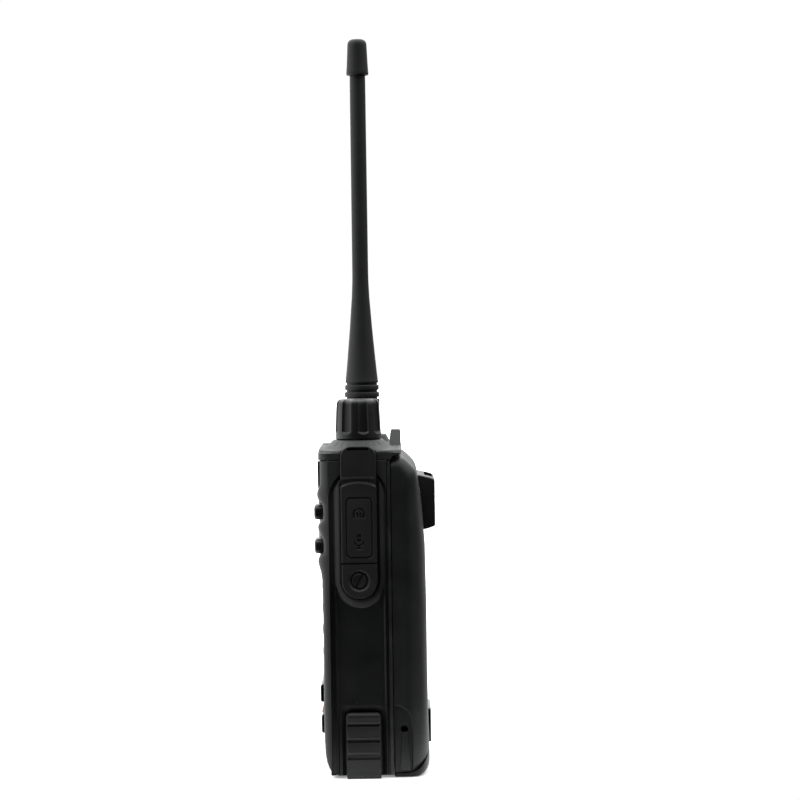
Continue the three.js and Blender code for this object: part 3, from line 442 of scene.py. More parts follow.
surface("antenna_rubber", rgb(0.013, 0.0134, 0.0137), rgb(0.018, 0.0185, 0.019), (0.5, 0.64), grain=0.3,
        depth=0.007, wave=0.02, dust=0.03, sockets={"Specular IOR Level": 0.36})
surface("orange_plastic", rgb(0.46, 0.085, 0.022), rgb(0.62, 0.14, 0.045), (0.32, 0.46), grain=0.4,
        depth=0.004)
surface("clear_lens", rgb(0.25, 0.26, 0.26), rgb(0.36, 0.37, 0.37), (0.12, 0.2), grain=0.8, depth=0.002,
        sockets={"Transmission Weight": 0.55, "IOR": 1.49})
surface("chassis_metal", rgb(0.0072, 0.0072, 0.0076), rgb(0.034, 0.034, 0.036), (0.42, 0.58), grain=0.3,
        depth=0.01, sockets={"Metallic": 0.25})
surface("bright_steel", rgb(0.42, 0.42, 0.43), rgb(0.56, 0.56, 0.57), (0.22, 0.38), grain=0.12,
        depth=0.003, sockets={"Metallic": 1.0}, stretch=(1.0, 1.0, 12.0))
surface("dark_steel", rgb(0.020, 0.020, 0.019), rgb(0.055, 0.054, 0.052), (0.22, 0.36), grain=0.14,
        depth=0.006, sockets={"Metallic": 0.55})
surface("gold_contact", rgb(0.68, 0.44, 0.16), rgb(0.82, 0.58, 0.24), (0.18, 0.34), grain=0.15,
        depth=0.002, sockets={"Metallic": 1.0})
surface("circuit_board", rgb(0.008, 0.045, 0.018), rgb(0.014, 0.085, 0.035), (0.3, 0.45), grain=0.6,
        depth=0.02)
surface("display_glass", rgb(0.10, 0.12, 0.095), rgb(0.13, 0.15, 0.12), (0.1, 0.18))
surface("cell_wrap", rgb(0.03, 0.09, 0.22), rgb(0.045, 0.13, 0.30), (0.25, 0.4), grain=0.8, depth=0.01)


# ---- front case ------------------------------------------------------------------------------

case_low, case_high = span("front_case")
HALF = 29.0                              # half the width of the case, without the raised cover seat
CASE_LOW_Z, CASE_HIGH_Z = case_low[2], case_high[2]
CASE_BACK_Y = case_high[1] + 0.17        # the skin closes up to the chassis, with a hairline left
SIDE_START = -15.45                      # where the rounded front corner meets the flat side
COVER_MIDDLE = -4.75
COVER_FOOT = 66.7
ARCH_SPRING = 92.5
STRAP_CORNER = 3.6
KNOB_AT = (16.0, -5.4)
ANTENNA_AT = (-16.0, -4.5)
SCREW_AT = (-5.5, 66.2)                  # the screw of the jack cover, as (y, z)
SIDE_FAR, FRONT_FAR = 36, -22            # cutters start or end out here, clear of the radio
SIDE_KEYS = {"talk_key": "talk", "side_key_upper": "side_upper", "side_key_lower": "side_lower"}

# the front beside the display, seen from the side, as (z, y)
FRONT_SHAPE = (
    (106.4, -18.3), (98.2, -18.35), (97.2, -18.6), (96.2, -19.1), (94.8, -19.4), (93.6, -19.2),
    (92.6, -18.6), (91.8, -17.8), (91.2, -17.35), (88.7, -17.2), (86.2, -17.4), (85.2, -18.4),
    (84.7, -18.95), (83.9, -19.2), (82.6, -18.95), (81.0, -18.2), (79.8, -17.4), (77.3, -17.2),
    (75.3, -17.3), (74.4, -18.4), (73.5, -19.05), (72.4, -19.3), (70.9, -19.0), (69.0, -18.35),
    (66, -17.95), (56, -17.8), (46, -17.8), (39, -17.85), (20, -17.95), (12, -17.9), (8, -17.65),
    (5.35, -17.2), (3.3, -16.4), (1.95, -15.4), (0.45, -14.2),
)


def front_at(z):
    """The outermost skin of the front beside the display, seen from the side."""
    shape = np.array(FRONT_SHAPE)[::-1]
    fine = np.arange(-1.0, 108.0, 0.1)
    raw = np.interp(fine, shape[:, 0], shape[:, 1])
    kernel = np.hanning(11)
    soft = np.convolve(np.pad(raw, 5, mode="edge"), kernel / kernel.sum(), mode="valid")
    return np.interp(z, fine, soft)


def front_y(x, z):
    """Depth of the front skin: level round the display, scalloped round the keys."""
    edge = front_at(z)
    level = np.full_like(edge, -18.9)
    middle = smooth(14.9, 13.7, np.abs(x)) * smooth(68.2, 70.0, z)
    y = edge * (1 - middle) + level * middle
    field = band(np.abs(x), -1, 23.2, 0.5) * band(z, 37.0, 67.6, 0.5)
    return y + 0.42 * field


def right_x(y, z):
    """Reach of the right side: groove, sunken panel and the raised seat of the jack cover."""
    left_of = y < COVER_MIDDLE
    across = np.abs(y - COVER_MIDDLE)
    rise = np.maximum(z - ARCH_SPRING, 0)

    def arch(reach_left, reach_right, height):
        """Signed distance outside an arch with straight legs, negative within."""
        reach = np.where(left_of, reach_left, reach_right)
        return (np.hypot(across / reach, rise / height) - 1) * reach

    outer = arch(10.6, 9.2, 11.2)
    inner = arch(9.6, 8.2, 10.2)
    moat_floor = np.where(left_of, HALF - 1.05, HALF - 0.8)
    x = np.full(np.broadcast(y, z).shape, HALF)
    inside = smooth(0.12, -0.12, outer)
    x = x * (1 - inside) + moat_floor * inside

    # sunken panel below the cover, with a thin ridge along each edge
    low = smooth(96, 90, z)
    ridge = band(y, -13.65, -13.05, 0.2) + band(y, 2.72, 3.25, 0.2)
    panel = band(y, -13.05, 2.72, 0.2)
    x = x + low * (ridge * (HALF - 0.06 - x) + panel * (HALF - 0.65 - x))

    # raised seat, sloping away from the cover
    drop = np.maximum(COVER_FOOT - z, 0)
    away = np.hypot(across, drop) - 6.75
    turn = np.clip(drop / (np.hypot(across, drop) + 1e-6), 0, 1)
    width = np.where(left_of, 2.3, 1.3) + turn * turn * np.where(left_of, 0.6, 1.6)
    slope = np.clip(away / width, 0, 1.0)
    seat = HALF + 0.8 - smooth(0.08, 1.0, slope) - 0.35 * smooth(0.75, 1.05, slope)
    on_seat = smooth(0.14, -0.14, inner) * smooth(1.06, 0.98, away / width)
    return x * (1 - on_seat) + np.maximum(seat, HALF - 0.65) * on_seat


def left_x(y, z):
    """Reach of the left side: the same groove and a plain sunken panel."""
    x = np.full(np.broadcast(y, z).shape, HALF)
    x = x - band(y, -15.3, -13.7, 0.2) * smooth(101, 99, z)
    return x - 0.5 * band(y, -12.6, 2.7, 0.3) * band(z, -5, 98.5, 0.8)


def case_skin():
    z = np.arange(CASE_LOW_Z, CASE_HIGH_Z + 0.01, 0.4)
    z = np.concatenate((z[:1], [CASE_LOW_Z + 0.12], z[1:-1], [CASE_HIGH_Z - 0.15, CASE_HIGH_Z]))
    inset = np.interp(z, (CASE_LOW_Z, CASE_LOW_Z + 0.12, CASE_LOW_Z + 0.4, CASE_HIGH_Z - 0.15, CASE_HIGH_Z),
                      (0.4, 0.18, 0.0, 0.0, 0.15))
    edge = front_at(z)
    depth = np.maximum(SIDE_START - edge, 0.35)
    wide = depth * 1.3
    columns = []
    for y in np.arange(CASE_BACK_Y, SIDE_START, -0.25):
        columns.append((right_x(y, z) - inset, np.full_like(z, y)))
    start = math.radians(35)
    corner = np.linspace(start, math.pi / 2, 11)
    turn_x = (math.cos(start) - np.cos(corner)) / math.cos(start)
    turn_y = (np.sin(corner) - math.sin(start)) / (1 - math.sin(start))
    for a, b in zip(turn_x, turn_y):
        reach = HALF - wide * a
        columns.append((reach - inset * (1 - a), SIDE_START - depth * b + inset * a))
    for u in np.linspace(1, -1, 112)[1:-1]:
        x = u * (HALF - wide)
        columns.append((x, front_y(x, z) + inset))
    for a, b in zip(turn_x[::-1], turn_y[::-1]):
        reach = HALF - wide * a
        columns.append((-(reach - inset * (1 - a)), SIDE_START - depth * b + inset * a))
    for y in np.arange(CASE_BACK_Y, SIDE_START, -0.35)[::-1]:
        columns.append((-(left_x(y, z) - inset), np.full_like(z, y)))
    for x in np.linspace(-HALF, HALF, 8)[1:-1]:
        columns.append((np.full_like(z, x), np.full_like(z, CASE_BACK_Y)))
    grid = np.stack([np.stack((x, y, z), 1) for x, y in columns])
    return loft("front_case_skin", [grid[:, row] for row in range(len(z))])


def strap_outline(grow, foot):
    """The jack cover with its strap, seen from the side, from the height foot upwards."""
    low, high = span("jack_cover")
    half = (high[1] - low[1]) / 2 + grow
    return rounded_rect(low[1] - grow, high[1] + grow, foot, high[2] + grow,
                        (half - 0.02, half - 0.02, STRAP_CORNER, STRAP_CORNER), steps=14)


def lens_outline(grow):
    """The display window: a wide head on a narrower stem."""
    low, high = span("display_lens")
    wide, stem = high[0] + grow, 12.6 + grow
    shoulder = 96.6
    cut = 1.2
    return mitred([
        (-stem, low[2] - grow), (stem, low[2] - grow), (stem, shoulder - grow - 0.8),
        (stem + 0.8, shoulder - grow), (wide - cut, shoulder - grow), (wide, shoulder + cut - grow),
        (wide, high[2] + grow), (-wide, high[2] + grow), (-wide, shoulder + cut - grow),
        (-wide + cut, shoulder - grow), (-stem - 0.8, shoulder - grow), (-stem, shoulder - grow - 0.8),
    ])


PAD_NAMES = ["1", "2", "3", "4", "5", "6", "7", "8", "9", "star", "0", "hash"]
MENU_NAMES = ["upper_left", "upper_right", "lower_left", "lower_right"]


def mouth(name, outline, axis, deep, lip, far, flare):
    """A cutter that opens into a small chamfer at the surface."""
    outwards = 1 if far > deep else -1
    return flared(name, axis, [(outline(0), deep), (outline(0), lip),
                               (outline(-flare), lip + outwards * flare), (outline(-flare), far)])


def build_front_case():
    case = case_skin()
    wall = 2.6
    inside = HALF - wall
    tools = [
        box_piece("hollow", (-inside, -16.5, 6.4), (inside, 9, 103.6)),
        box_piece("hollow_low", (-inside, -13.8, 4.4), (inside, 9, 7)),
        box_piece("seal_step", (-inside - 1, 2.3, 3.4), (inside + 1, 9, 104.6)),
    ]
    tools.append(mouth("window", lens_outline(0.18), "Y", -18.3, -18.8, FRONT_FAR, 0.15))
    tools.append(box_piece("screen_hole", (-11.4, FRONT_FAR, 74), (11.4, -16, 102)))

    holes = []
    for name in PAD_NAMES:
        outline = node_outline("pad_key_" + name, "Y", 0.2, 2.1)
        holes.append(mouth("hole", outline, "Y", -15.9, -17.72, FRONT_FAR, 0.16))
    for name in MENU_NAMES:
        outline = node_outline("menu_key_" + name, "Y", 0.0, 2.0)
        holes.append(mouth("hole", outline, "Y", -15.9, -17.7, FRONT_FAR, 0.25))
    tools.append(merge("key_holes", holes))

    seat = node_outline("speaker_grille", "Y", 0.2, 1.6)
    tools.append(mouth("grille_seat", seat, "Y", -17.2, -18.1, FRONT_FAR, 0.2))
    tools.append(box_piece("speaker_hole", (-13, FRONT_FAR, 15), (13, -16, 28.6)))
    tools.append(prism("microphone_hole", ellipse(-20, 33.2, 0.7), "Y", FRONT_FAR, -16))

    # jack cover seat, on the right
    seat = rounded_rect(-11.5, 1.6, COVER_FOOT - 6.6, 100.6, (6.5, 6.5, 2.4, 0.3), steps=14)
    tools.append(mouth("cover_seat", seat, "X", HALF - 0.5, HALF + 0.66, SIDE_FAR, 0.12))
    strap_foot = span("jack_cover")[0][2] - 0.22
    tools.append(prism("strap_seat", strap_outline(0.22, strap_foot), "X", 27.6, SIDE_FAR))
    for z in (88.6, 79.4):
        tools.append(prism("jack_hole", ellipse(-5.3, z, 2.6), "X", 25, 29))
    tools.append(prism("screw_hole", ellipse(*SCREW_AT, 1.7), "X", 25, 29))

    # latch recess on both sides, with a sloping top, and its channel under the foot
    for side in (1, -1):
        tight = rounded_rect(-11.05, 1.6, -6, 22.35, (0.1, 0.1, 1.3, 1.3))()
        wide = rounded_rect(-12.1, 2.55, -6, 24.75, (0.1, 0.1, 2.4, 2.4))()
        tools.append(flared("latch_recess", "X", [
            (tight, side * 26.9), (tight, side * 27.5), (wide, side * 28.45), (wide, side * SIDE_FAR)]))
        near, far = sorted((side * 26.6, side * SIDE_FAR))
        tools.append(box_piece("leg_way", (near, -11.0, -1), (far, 1.5, 3.9)))
    tools.append(box_piece("channel", (-SIDE_FAR, -8.4, -1), (SIDE_FAR, -1.1, 3.9)))

    # talk key side
    seat = node_outline("side_bezel", "X", 0.2, 3.2)
    tools.append(flared("bezel_seat", "X", [
        (seat(0), -28.0), (seat(0), -28.4), (seat(-0.25), -28.75), (seat(-0.25), -SIDE_FAR)]))
    slots = [prism("slot", node_outline(node, "X", 0.3, 2.4), "X", -30, -25) for node in SIDE_KEYS]
    tools.append(merge("side_slots", slots))

    # openings under the deck
    tools.append(prism("knob_way", ellipse(*KNOB_AT, 4.2), "Z", 102, 108))
    tools.append(prism("antenna_way", ellipse(*ANTENNA_AT, 4.4), "Z", 102, 108))
    tools.append(box_piece("alarm_hole", (-3.4, -8, 102), (3.4, 0, 108)))
    tools.append(box_piece("indicator_hole", (-2.2, -17, 102), (2.2, -14.8, 108)))
    combine(case, [box_piece("sole", (-26.5, -13.2, 0.45), (26.5, 5.1, 0.84))], "UNION")
    combine(case, tools)
    case.name = "front_case_shell"
    hand_in(case, "case", ["front_case"], "case_plastic", sharp=30)


build_front_case()


# ---- deck ------------------------------------------------------------------------------------

DECK_RADII = (4.2, 4.2, 2.2, 2.2)
RIM_RADII = (8.5, 8.5, 5.0, 5.0)
DECK_REAR = 9.05
RIM_DROP = 0.9
deck_low, deck_high = span("top_cover")
DECK_FLOOR = 109.55
DECK_CROWN = 0.6                         # the deck rises this much between its two sides
TICK_PITCH = 15                          # degrees between the marks on the knob boss
BOSSES = (                               # place, radius at the top and at the foot, rise
    (KNOB_AT, 8.1, 12.8, 3.27),
    (ANTENNA_AT, 8.3, 10.3, 3.45),
)


def rect_distance(x, y, low, high, radii):
    """Distance inside a rounded rectangle, positive within."""
    middle = (low + high) / 2
    half = (high - low) / 2
    dx, dy = x - middle[0], y - middle[1]
    radius = np.where(dy < 0, radii[0], radii[2])
    qx, qy = np.abs(dx) - half[0] + radius, np.abs(dy) - half[1] + radius
    outside = np.hypot(np.maximum(qx, 0), np.maximum(qy, 0)) + np.minimum(np.maximum(qx, qy), 0)
    return radius - outside


def lines(low, high, step, edge):
    """Grid lines, closer together near both ends."""
    near = np.array((0, 0.04, 0.1, 0.2, 0.32, 0.46, 0.62, 0.8, 1.0, 1.2))
    inner = np.arange(low + edge, high - edge + 0.01, step)
    return np.unique(np.round(np.concatenate((low + near, inner, high - near)), 4))


def build_deck():
    plan_low = np.array((-HALF, deck_low[1]))
    plan_high = np.array((HALF, DECK_REAR))

    def height(x, y):
        crown = DECK_FLOOR + DECK_CROWN * smooth(28.5, 12, np.abs(x))
        z = crown
        for (cx, cy), inner, outer, rise in BOSSES:
            t = np.clip((outer - np.hypot(x - cx, y - cy)) / (outer - inner), 0, 1)
            cone = rise * (0.35 * t * t + 0.65 * t) - 0.15 * smooth(0.9, 1.0, t)
            z = np.maximum(z, DECK_FLOOR + cone)
        from_knob = np.hypot(x - KNOB_AT[0], y - KNOB_AT[1])
        angle = np.degrees(np.arctan2(y - KNOB_AT[1], x - KNOB_AT[0]))
        for k in range(-3, 4):
            tick = band(angle, TICK_PITCH * k - 2.2, TICK_PITCH * k + 2.2, 0.8)
            z = z - 0.16 * tick * band(from_knob, 9.0, 10.7, 0.3)
        within = rect_distance(x, y, plan_low, plan_high, RIM_RADII)
        inside = np.clip(within, 0, RIM_DROP)
        rim = crown - RIM_DROP + np.sqrt(np.maximum(RIM_DROP ** 2 - (RIM_DROP - inside) ** 2, 0))
        fence = 4.4 * smooth(1.1, 6.0, within)
        return np.minimum(z, rim + fence)

    x_lines, y_lines = lines(-HALF, HALF, 0.36, 1.3), lines(deck_low[1], DECK_REAR, 0.36, 1.3)
    deck = relief_slab("deck", "Z", x_lines, y_lines, height, deck_low[2] - 0.05)
    plan = rounded_rect(-HALF + 0.01, HALF - 0.01, deck_low[1] + 0.01, DECK_REAR - 0.01,
                        DECK_RADII, steps=10)
    combine(deck, [prism("plan", plan, "Z", 100, 130)], "INTERSECT")

    guard_low, guard_high = 4.9, DECK_REAR - 0.1
    guard_top = deck_high[2] + 0.25
    side = mitred([(guard_low, 108.9), (guard_high - 0.2, 108.9), (guard_high - 0.05, 110.6),
                   (guard_high - 0.06, guard_top - 0.8), (guard_high - 0.2, guard_top - 0.25),
                   (guard_high - 0.55, guard_top), (guard_low + 1.0, guard_top),
                   (guard_low + 0.7, guard_top - 0.2), (guard_low + 0.55, guard_top - 0.7),
                   (guard_low + 0.1, 111.2)])
    guard = prism("guard", side, "X", -8, 8, (0.3, 0.3), 4)
    lean = mitred([(-8.2, 108), (8.2, 108), (8.0, 109.8), (2.4, 116), (-2.4, 116), (-8.0, 109.8)])
    combine(guard, [prism("lean", lean, "Y", 0, 12)], "INTERSECT")
    combine(deck, [guard], "UNION")

    alarm = node_outline("alarm_key", "Z", 0.2, 2.2)
    led = node_outline("indicator_lens", "Z", 0.12, 0.6)
    underside = mitred([(5.35, 104), (11, 104), (11, 109.2), (9.2, 108.5), (8.2, 108.2), (6.2, 107.6),
                        (5.7, 107.3), (5.35, 106.4)])
    tools = [
        prism("alarm_seat", alarm, "Z", 100, 116),
        prism("led_seat", led, "Z", 100, 116),
        prism("notch", strap_outline(0.25, 90), "X", 27.5, SIDE_FAR),
        prism("knob_hole", ellipse(*KNOB_AT, 3.9), "Z", 100, 116),
        prism("antenna_hole", ellipse(*ANTENNA_AT, 4.1), "Z", 100, 116),
        prism("antenna_seat", ellipse(*ANTENNA_AT, 6.6), "Z", 111.4, 116),
        prism("underside", underside, "X", -32, 32),
    ]
    combine(deck, tools)
    deck.name = "deck_shell"
    hand_in(deck, "case", ["top_cover"], "case_plastic", sharp=38)


build_deck()


def dome_piece(name, node, body, finish, radius, rise):
    """A rounded pad on the deck: straight flanks under a soft crown."""
    low, high = span(node)
    outline = node_outline(node, "Z", 0, radius)
    rings = [to_space("Z", outline(0), low[2])]
    base = high[2] - rise
    limit = min(high[0] - low[0], high[1] - low[1]) / 2 - 0.05
    for t in np.linspace(0, 1, 11):
        angle = t * math.pi / 2
        rings.append(to_space("Z", outline(limit * (1 - math.cos(angle)) ** 1.15),
                              base + rise * math.sin(angle)))
    piece = loft(name, rings)
    hand_in(piece, body, [node], finish, sharp=50)


dome_piece("alarm_button", "alarm_key", "alarm", "key_rubber", 2.6, 2.2)
dome_piece("indicator", "indicator_lens", "case", "clear_lens", 0.7, 1.2)


# ---- knob ------------------------------------------------------------------------------------

# from the foot to the middle of the top, as (radius, z)
KNOB_PROFILE = (
    (7.45, 112.9), (7.62, 113.0), (7.7, 113.2), (7.69, 114.6), (7.6, 116.8), (7.47, 119.8), (7.33, 122.6),
    (7.2, 124.5), (7.1, 125.1), (6.88, 125.6), (6.5, 125.98), (6.0, 126.22), (5.2, 126.33),
    (3.6, 126.38), (1.8, 126.4), (0.02, 126.4),
)
FLUTE_COUNT = 8
FLUTE_FIRST = 14.5
FLUTE_HALF = 14.2               # degrees
FLUTE_DEPTH = 0.85


def build_knob():
    profile = np.array(KNOB_PROFILE)
    length = np.concatenate(([0], np.cumsum(np.hypot(*np.diff(profile, axis=0).T))))
    fine = np.concatenate((np.linspace(0, length[2], 4), np.arange(length[2] + 0.15, length[12], 0.16),
                           length[12:]))
    radius, z = np.interp(fine, length, profile[:, 0]), np.interp(fine, length, profile[:, 1])
    angle = np.linspace(0, 2 * math.pi, 288, endpoint=False)
    pitch = 360 / FLUTE_COUNT
    off = (np.degrees(angle) - FLUTE_FIRST + pitch / 2) % pitch - pitch / 2
    rings = []
    for r, h in zip(radius, z):
        lift = np.clip((h - 114.7) / 1.05, 0, 1)
        half = FLUTE_HALF * math.sqrt(max(1 - (1 - lift) ** 2, 0))
        if half > 0.3:
            t = np.clip(np.abs(off) / half, 0, 1)
            cut = FLUTE_DEPTH * np.sqrt(1 - t ** 2.2) * min(1, lift * 2.2)
        else:
            cut = np.zeros_like(off)
        fade = smooth(3.8, 5.9, r)
        reach = r - cut * fade
        rings.append(np.stack((KNOB_AT[0] + reach * np.cos(angle), KNOB_AT[1] + reach * np.sin(angle),
                               np.full(len(angle), h)), 1))
    knob = loft("knob", rings)
    combine(knob, [prism("bore", ellipse(*KNOB_AT, 3.3), "Z", 110, 123.4)])
    hand_in(knob, "knob", ["volume_knob"], "knob_plastic", sharp=40)


build_knob()


# ---- antenna ---------------------------------------------------------------------------------

def build_antenna():
    rings = []
    for step in range(3):
        z = 130.6 - 2.5 * step
        out = 5.85 + 0.12 * step
        rings += [(out, z + 0.66), (out - 0.04, z + 0.5), (out - 0.2, z + 0.38), (5.4, z + 0.3),
                  (5.37, z - 0.3), (out - 0.1, z - 0.4), (out + 0.07, z - 0.52), (out + 0.12, z - 0.68)]
    top = span("antenna_whip")[1][2]
    profile = [(0.01, top), (2.7, top), (2.75, 236), (2.77, 215), (2.8, 190), (2.82, 170), (2.86, 167),
               (2.95, 164.6), (3.12, 161), (3.95, 150), (4.9, 139.5), (5.5, 133.4), (5.68, 132.2),
               (5.78, 131.7)]
    profile += rings
    profile += [(6.1, 122), (6.1, 113.0), (6.0, 112.3), (5.6, 111.95), (3.4, 111.9), (3.4, 115.5),
                (0.01, 115.5)]
    whip = lathe("antenna_sleeve", profile, *ANTENNA_AT, segments=96)
    hand_in(whip, "antenna", ["antenna_whip"], "antenna_rubber", sharp=40)

    top = span("antenna_cap")[1][2]
    cap = [(0.01, top), (1.2, top - 0.03), (2.0, top - 0.16), (2.7, top - 0.5), (3.14, top - 1.0),
           (3.34, top - 1.7), (3.4, top - 2.6), (3.5, top - 5.0), (3.72, top - 9.6), (3.86, top - 11.4),
           (3.9, top - 12.1), (3.86, top - 12.4), (3.7, top - 12.58), (3.05, top - 12.6),
           (3.05, top - 11.6), (0.01, top - 11.6)]
    piece = lathe("antenna_tip", cap, *ANTENNA_AT, segments=72)
    hand_in(piece, "antenna", ["antenna_cap"], "antenna_rubber", sharp=45)


build_antenna()


# ---- jack cover ------------------------------------------------------------------------------

PANEL_LINE = (-9.5, -1.0, 73.9, 93.8, 1.5)       # y, y, z, z, corner
HEADPHONE_AT = (-5.3, 88.7)
MICROPHONE_AT = (-5.3, 79.3)


def rounded_box_distance(a, b, box):
    a0, a1, b0, b1, radius = box
    qa = np.abs(a - (a0 + a1) / 2) - (a1 - a0) / 2 + radius
    qb = np.abs(b - (b0 + b1) / 2) - (b1 - b0) / 2 + radius
    return np.hypot(np.maximum(qa, 0), np.maximum(qb, 0)) + np.minimum(np.maximum(qa, qb), 0) - radius


def stroke(distance, width):
    return smooth(width / 2 + 0.1, width / 2 - 0.06, np.abs(distance))


def headphone_mark(y, z):
    """Two ear pads hung on a band."""
    a, b = y - HEADPHONE_AT[0], z - HEADPHONE_AT[1]
    arc = stroke(np.hypot(a, b + 0.2) - 1.75, 0.42) * smooth(-0.45, -0.15, b)
    ears = band(np.abs(a), 1.2, 2.05, 0.2) * band(b, -1.65, -0.15, 0.25)
    stems = band(np.abs(a), 0.28, 0.7, 0.18) * band(b, -1.6, 0.35, 0.25)
    return np.clip(np.maximum(np.maximum(arc, ears), stems), 0, 1)


def microphone_mark(y, z):
    """A capsule in a cradle on a foot."""
    a, b = y - MICROPHONE_AT[0], z - MICROPHONE_AT[1]
    capsule = smooth(0.12, -0.08, rounded_box_distance(a, b, (-0.72, 0.72, -0.3, 2.6, 0.7)))
    capsule = capsule * (1 - band(b, 0.95, 1.3, 0.12))
    cradle = stroke(np.hypot(a, b - 0.15) - 1.5, 0.36) * smooth(0.35, 0.1, b)
    stem = band(a, -0.2, 0.2, 0.15) * band(b, -2.1, -1.3, 0.2)
    foot = band(a, -1.0, 1.0, 0.2) * band(b, -2.5, -2.1, 0.2)
    return np.clip(capsule + cradle + stem + foot, 0, 1)


def build_jack_cover():
    low, high = span("jack_cover")
    left, right, top = low[1], high[1], high[2]
    middle, half = (left + right) / 2, (right - left) / 2
    foot_z = low[2] + half
    strap_face, plate_face = high[0], high[0] - 0.3

    def height(y, z):
        strap = smooth(99.6, 100.6, z)
        x = plate_face + (strap_face - plate_face) * strap
        sag = ((y - middle) / half) ** 2
        x = x - 0.62 * smooth(101.1, 99.9, z) * smooth(98.7 - 1.5 * sag, 99.4 - 1.5 * sag, z)
        x = x - 0.5 * stroke(rounded_box_distance(y, z, PANEL_LINE), 0.46)
        x = x - 0.6 * band(z, 71.65, 72.2, 0.16)
        x = x - 0.45 * headphone_mark(y, z) - 0.45 * microphone_mark(y, z)
        bore = np.hypot(y - SCREW_AT[0], z - SCREW_AT[1])
        x = x - 0.55 * smooth(3.75, 2.95, bore) - 0.9 * smooth(2.86, 2.7, bore)
        x = x - band(z, 109.6, 110.5, 0.15) * band(y, middle - 3.5, middle + 3.5, 0.3)

        # rounded rim
        foot = np.maximum(foot_z - z, 0)
        flank = half - np.hypot(np.abs(y - middle), foot)
        corner = STRAP_CORNER
        rise = np.maximum(z - (top - corner), 0)
        inward = np.maximum(np.abs(y - middle) - (half - corner), 0)
        crown = np.where(rise > 0, corner - np.hypot(inward, rise), flank)
        edge = np.minimum(flank, crown)
        x = x - 0.38 * (1 - np.sqrt(np.clip(1 - (1 - np.clip(edge / 0.42, 0, 1)) ** 2, 0, 1)))
        return x

    y_lines = np.arange(left - 0.15, right + 0.2, 0.125)
    z_lines = np.arange(low[2] - 0.1, top + 0.15, 0.14)
    cover = relief_slab("cover", "X", y_lines, z_lines, height, low[0])
    combine(cover, [prism("plan", strap_outline(0.0, low[2]), "X", 20, 40)], "INTERSECT")
    combine(cover, [prism("bore", ellipse(*SCREW_AT, 1.5), "X", 20, 40)])
    cover.name = "cover_flap"
    hand_in(cover, "cover", ["jack_cover"], "cover_rubber", sharp=40)


build_jack_cover()


def build_cover_screw():
    outline = ellipse(*SCREW_AT, 2.45, steps=56)
    head = prism("screw_head", outline, "X", 29.3, 30.0, (0.0, 0.22), 4)
    cone = flared("dish", "X", [(ellipse(*SCREW_AT, 1.2, steps=56)(), 29.82),
                                (ellipse(*SCREW_AT, 1.95, steps=56)(), 30.05),
                                (ellipse(*SCREW_AT, 1.95, steps=56)(), 31)])
    turn = math.radians(28)
    along = np.array((math.sin(turn), math.cos(turn)))
    across = np.array((math.cos(turn), -math.sin(turn)))
    centre = np.array(SCREW_AT)
    slot = [centre + along * a * 3.2 + across * b * 0.36 for a, b in ((-1, -1), (1, -1), (1, 1), (-1, 1))]
    combine(head, [cone, flared("slot", "X", [(slot, 29.45), (slot, 31)])])
    shank = prism("shank", ellipse(*SCREW_AT, 1.2), "X", 25.4, 29.5)
    combine(head, [shank], "UNION")
    head.name = "cover_screw_head"
    hand_in(head, "screw", ["cover_screw"], "dark_steel", sharp=30)


build_cover_screw()


# ---- latch -----------------------------------------------------------------------------------

# the ribbed face of a grip, as (z, x)
LATCH_PROFILE = (
    (0.25, 29.9), (0.6, 30.35), (1.2, 30.45), (6.35, 30.5), (6.5, 29.5), (7.6, 29.62), (8.1, 30.0),
    (8.7, 30.32), (9.3, 30.3), (10.6, 29.95), (12.1, 29.8), (12.25, 29.15), (12.7, 29.3), (13.1, 29.9),
    (13.6, 30.28), (14.1, 30.25), (15.6, 29.92), (17.45, 29.7), (17.6, 29.05), (18.0, 29.25), (18.4, 29.85),
    (18.9, 30.15), (19.5, 30.0), (20.3, 29.75), (21.0, 29.7), (21.5, 29.5), (21.9, 28.7),
)


def build_latch():
    low, high = span("battery_latch")
    shape = np.array(LATCH_PROFILE)

    def grip(side):
        def height(y, z):
            x = np.interp(z, shape[:, 0], shape[:, 1])
            frame = np.minimum(y - low[1], high[1] - y)
            flank = np.interp(z, (0, 6.3, 6.6, 20.2, 21.9), (30.45, 30.45, 30.05, 29.95, 28.7))
            edge = smooth(0.5, 0.2, frame)
            x = x * (1 - edge) + flank * edge
            return side * (x - 0.45 * smooth(0.3, 0.0, frame))
        y_lines = np.unique(np.round(np.concatenate((
            np.arange(low[1], low[1] + 1.0, 0.09), np.arange(low[1] + 1.0, high[1] - 1.0, 0.45),
            np.arange(high[1] - 1.0, high[1] + 0.01, 0.1))), 3))
        z_lines = np.unique(np.round(np.concatenate((np.arange(low[2], high[2], 0.14), [high[2]])), 3))
        return relief_slab("grip", "X", y_lines, z_lines, height, side * 27.3)

    latch = grip(1)
    other = grip(-1)
    bridge = rounded_rect(-8.05, -1.45, 0.0, 1.3, 0.3)
    combine(latch, [prism("bridge", bridge, "X", -28.5, 28.5), other], "UNION")
    cut = rounded_rect(low[1], high[1], low[2], high[2], (0.6, 0.6, 1.4, 1.4))
    combine(latch, [prism("plan", cut, "X", -40, 40)], "INTERSECT")
    for side in (1, -1):
        ramp = mitred([(side * 27.0, 18.5), (side * 28.4, 22.05), (side * 27.0, 22.05)])
        combine(latch, [prism("ramp", ramp, "Y", -14, 4)])
    latch.name = "latch_body"
    hand_in(latch, "latch", ["battery_latch"], "latch_plastic", sharp=40)


build_latch()


# ---- battery ---------------------------------------------------------------------------------

battery_low, battery_high = span("battery_cover")
BATTERY_HALF = battery_high[0]
BATTERY_START = battery_low[1]
PORT_FOOT, PORT_TOP = 8.2, 19.8
LANYARD_AT = (8.85, 16.1)                # the hole in the side dish, as (y, z)

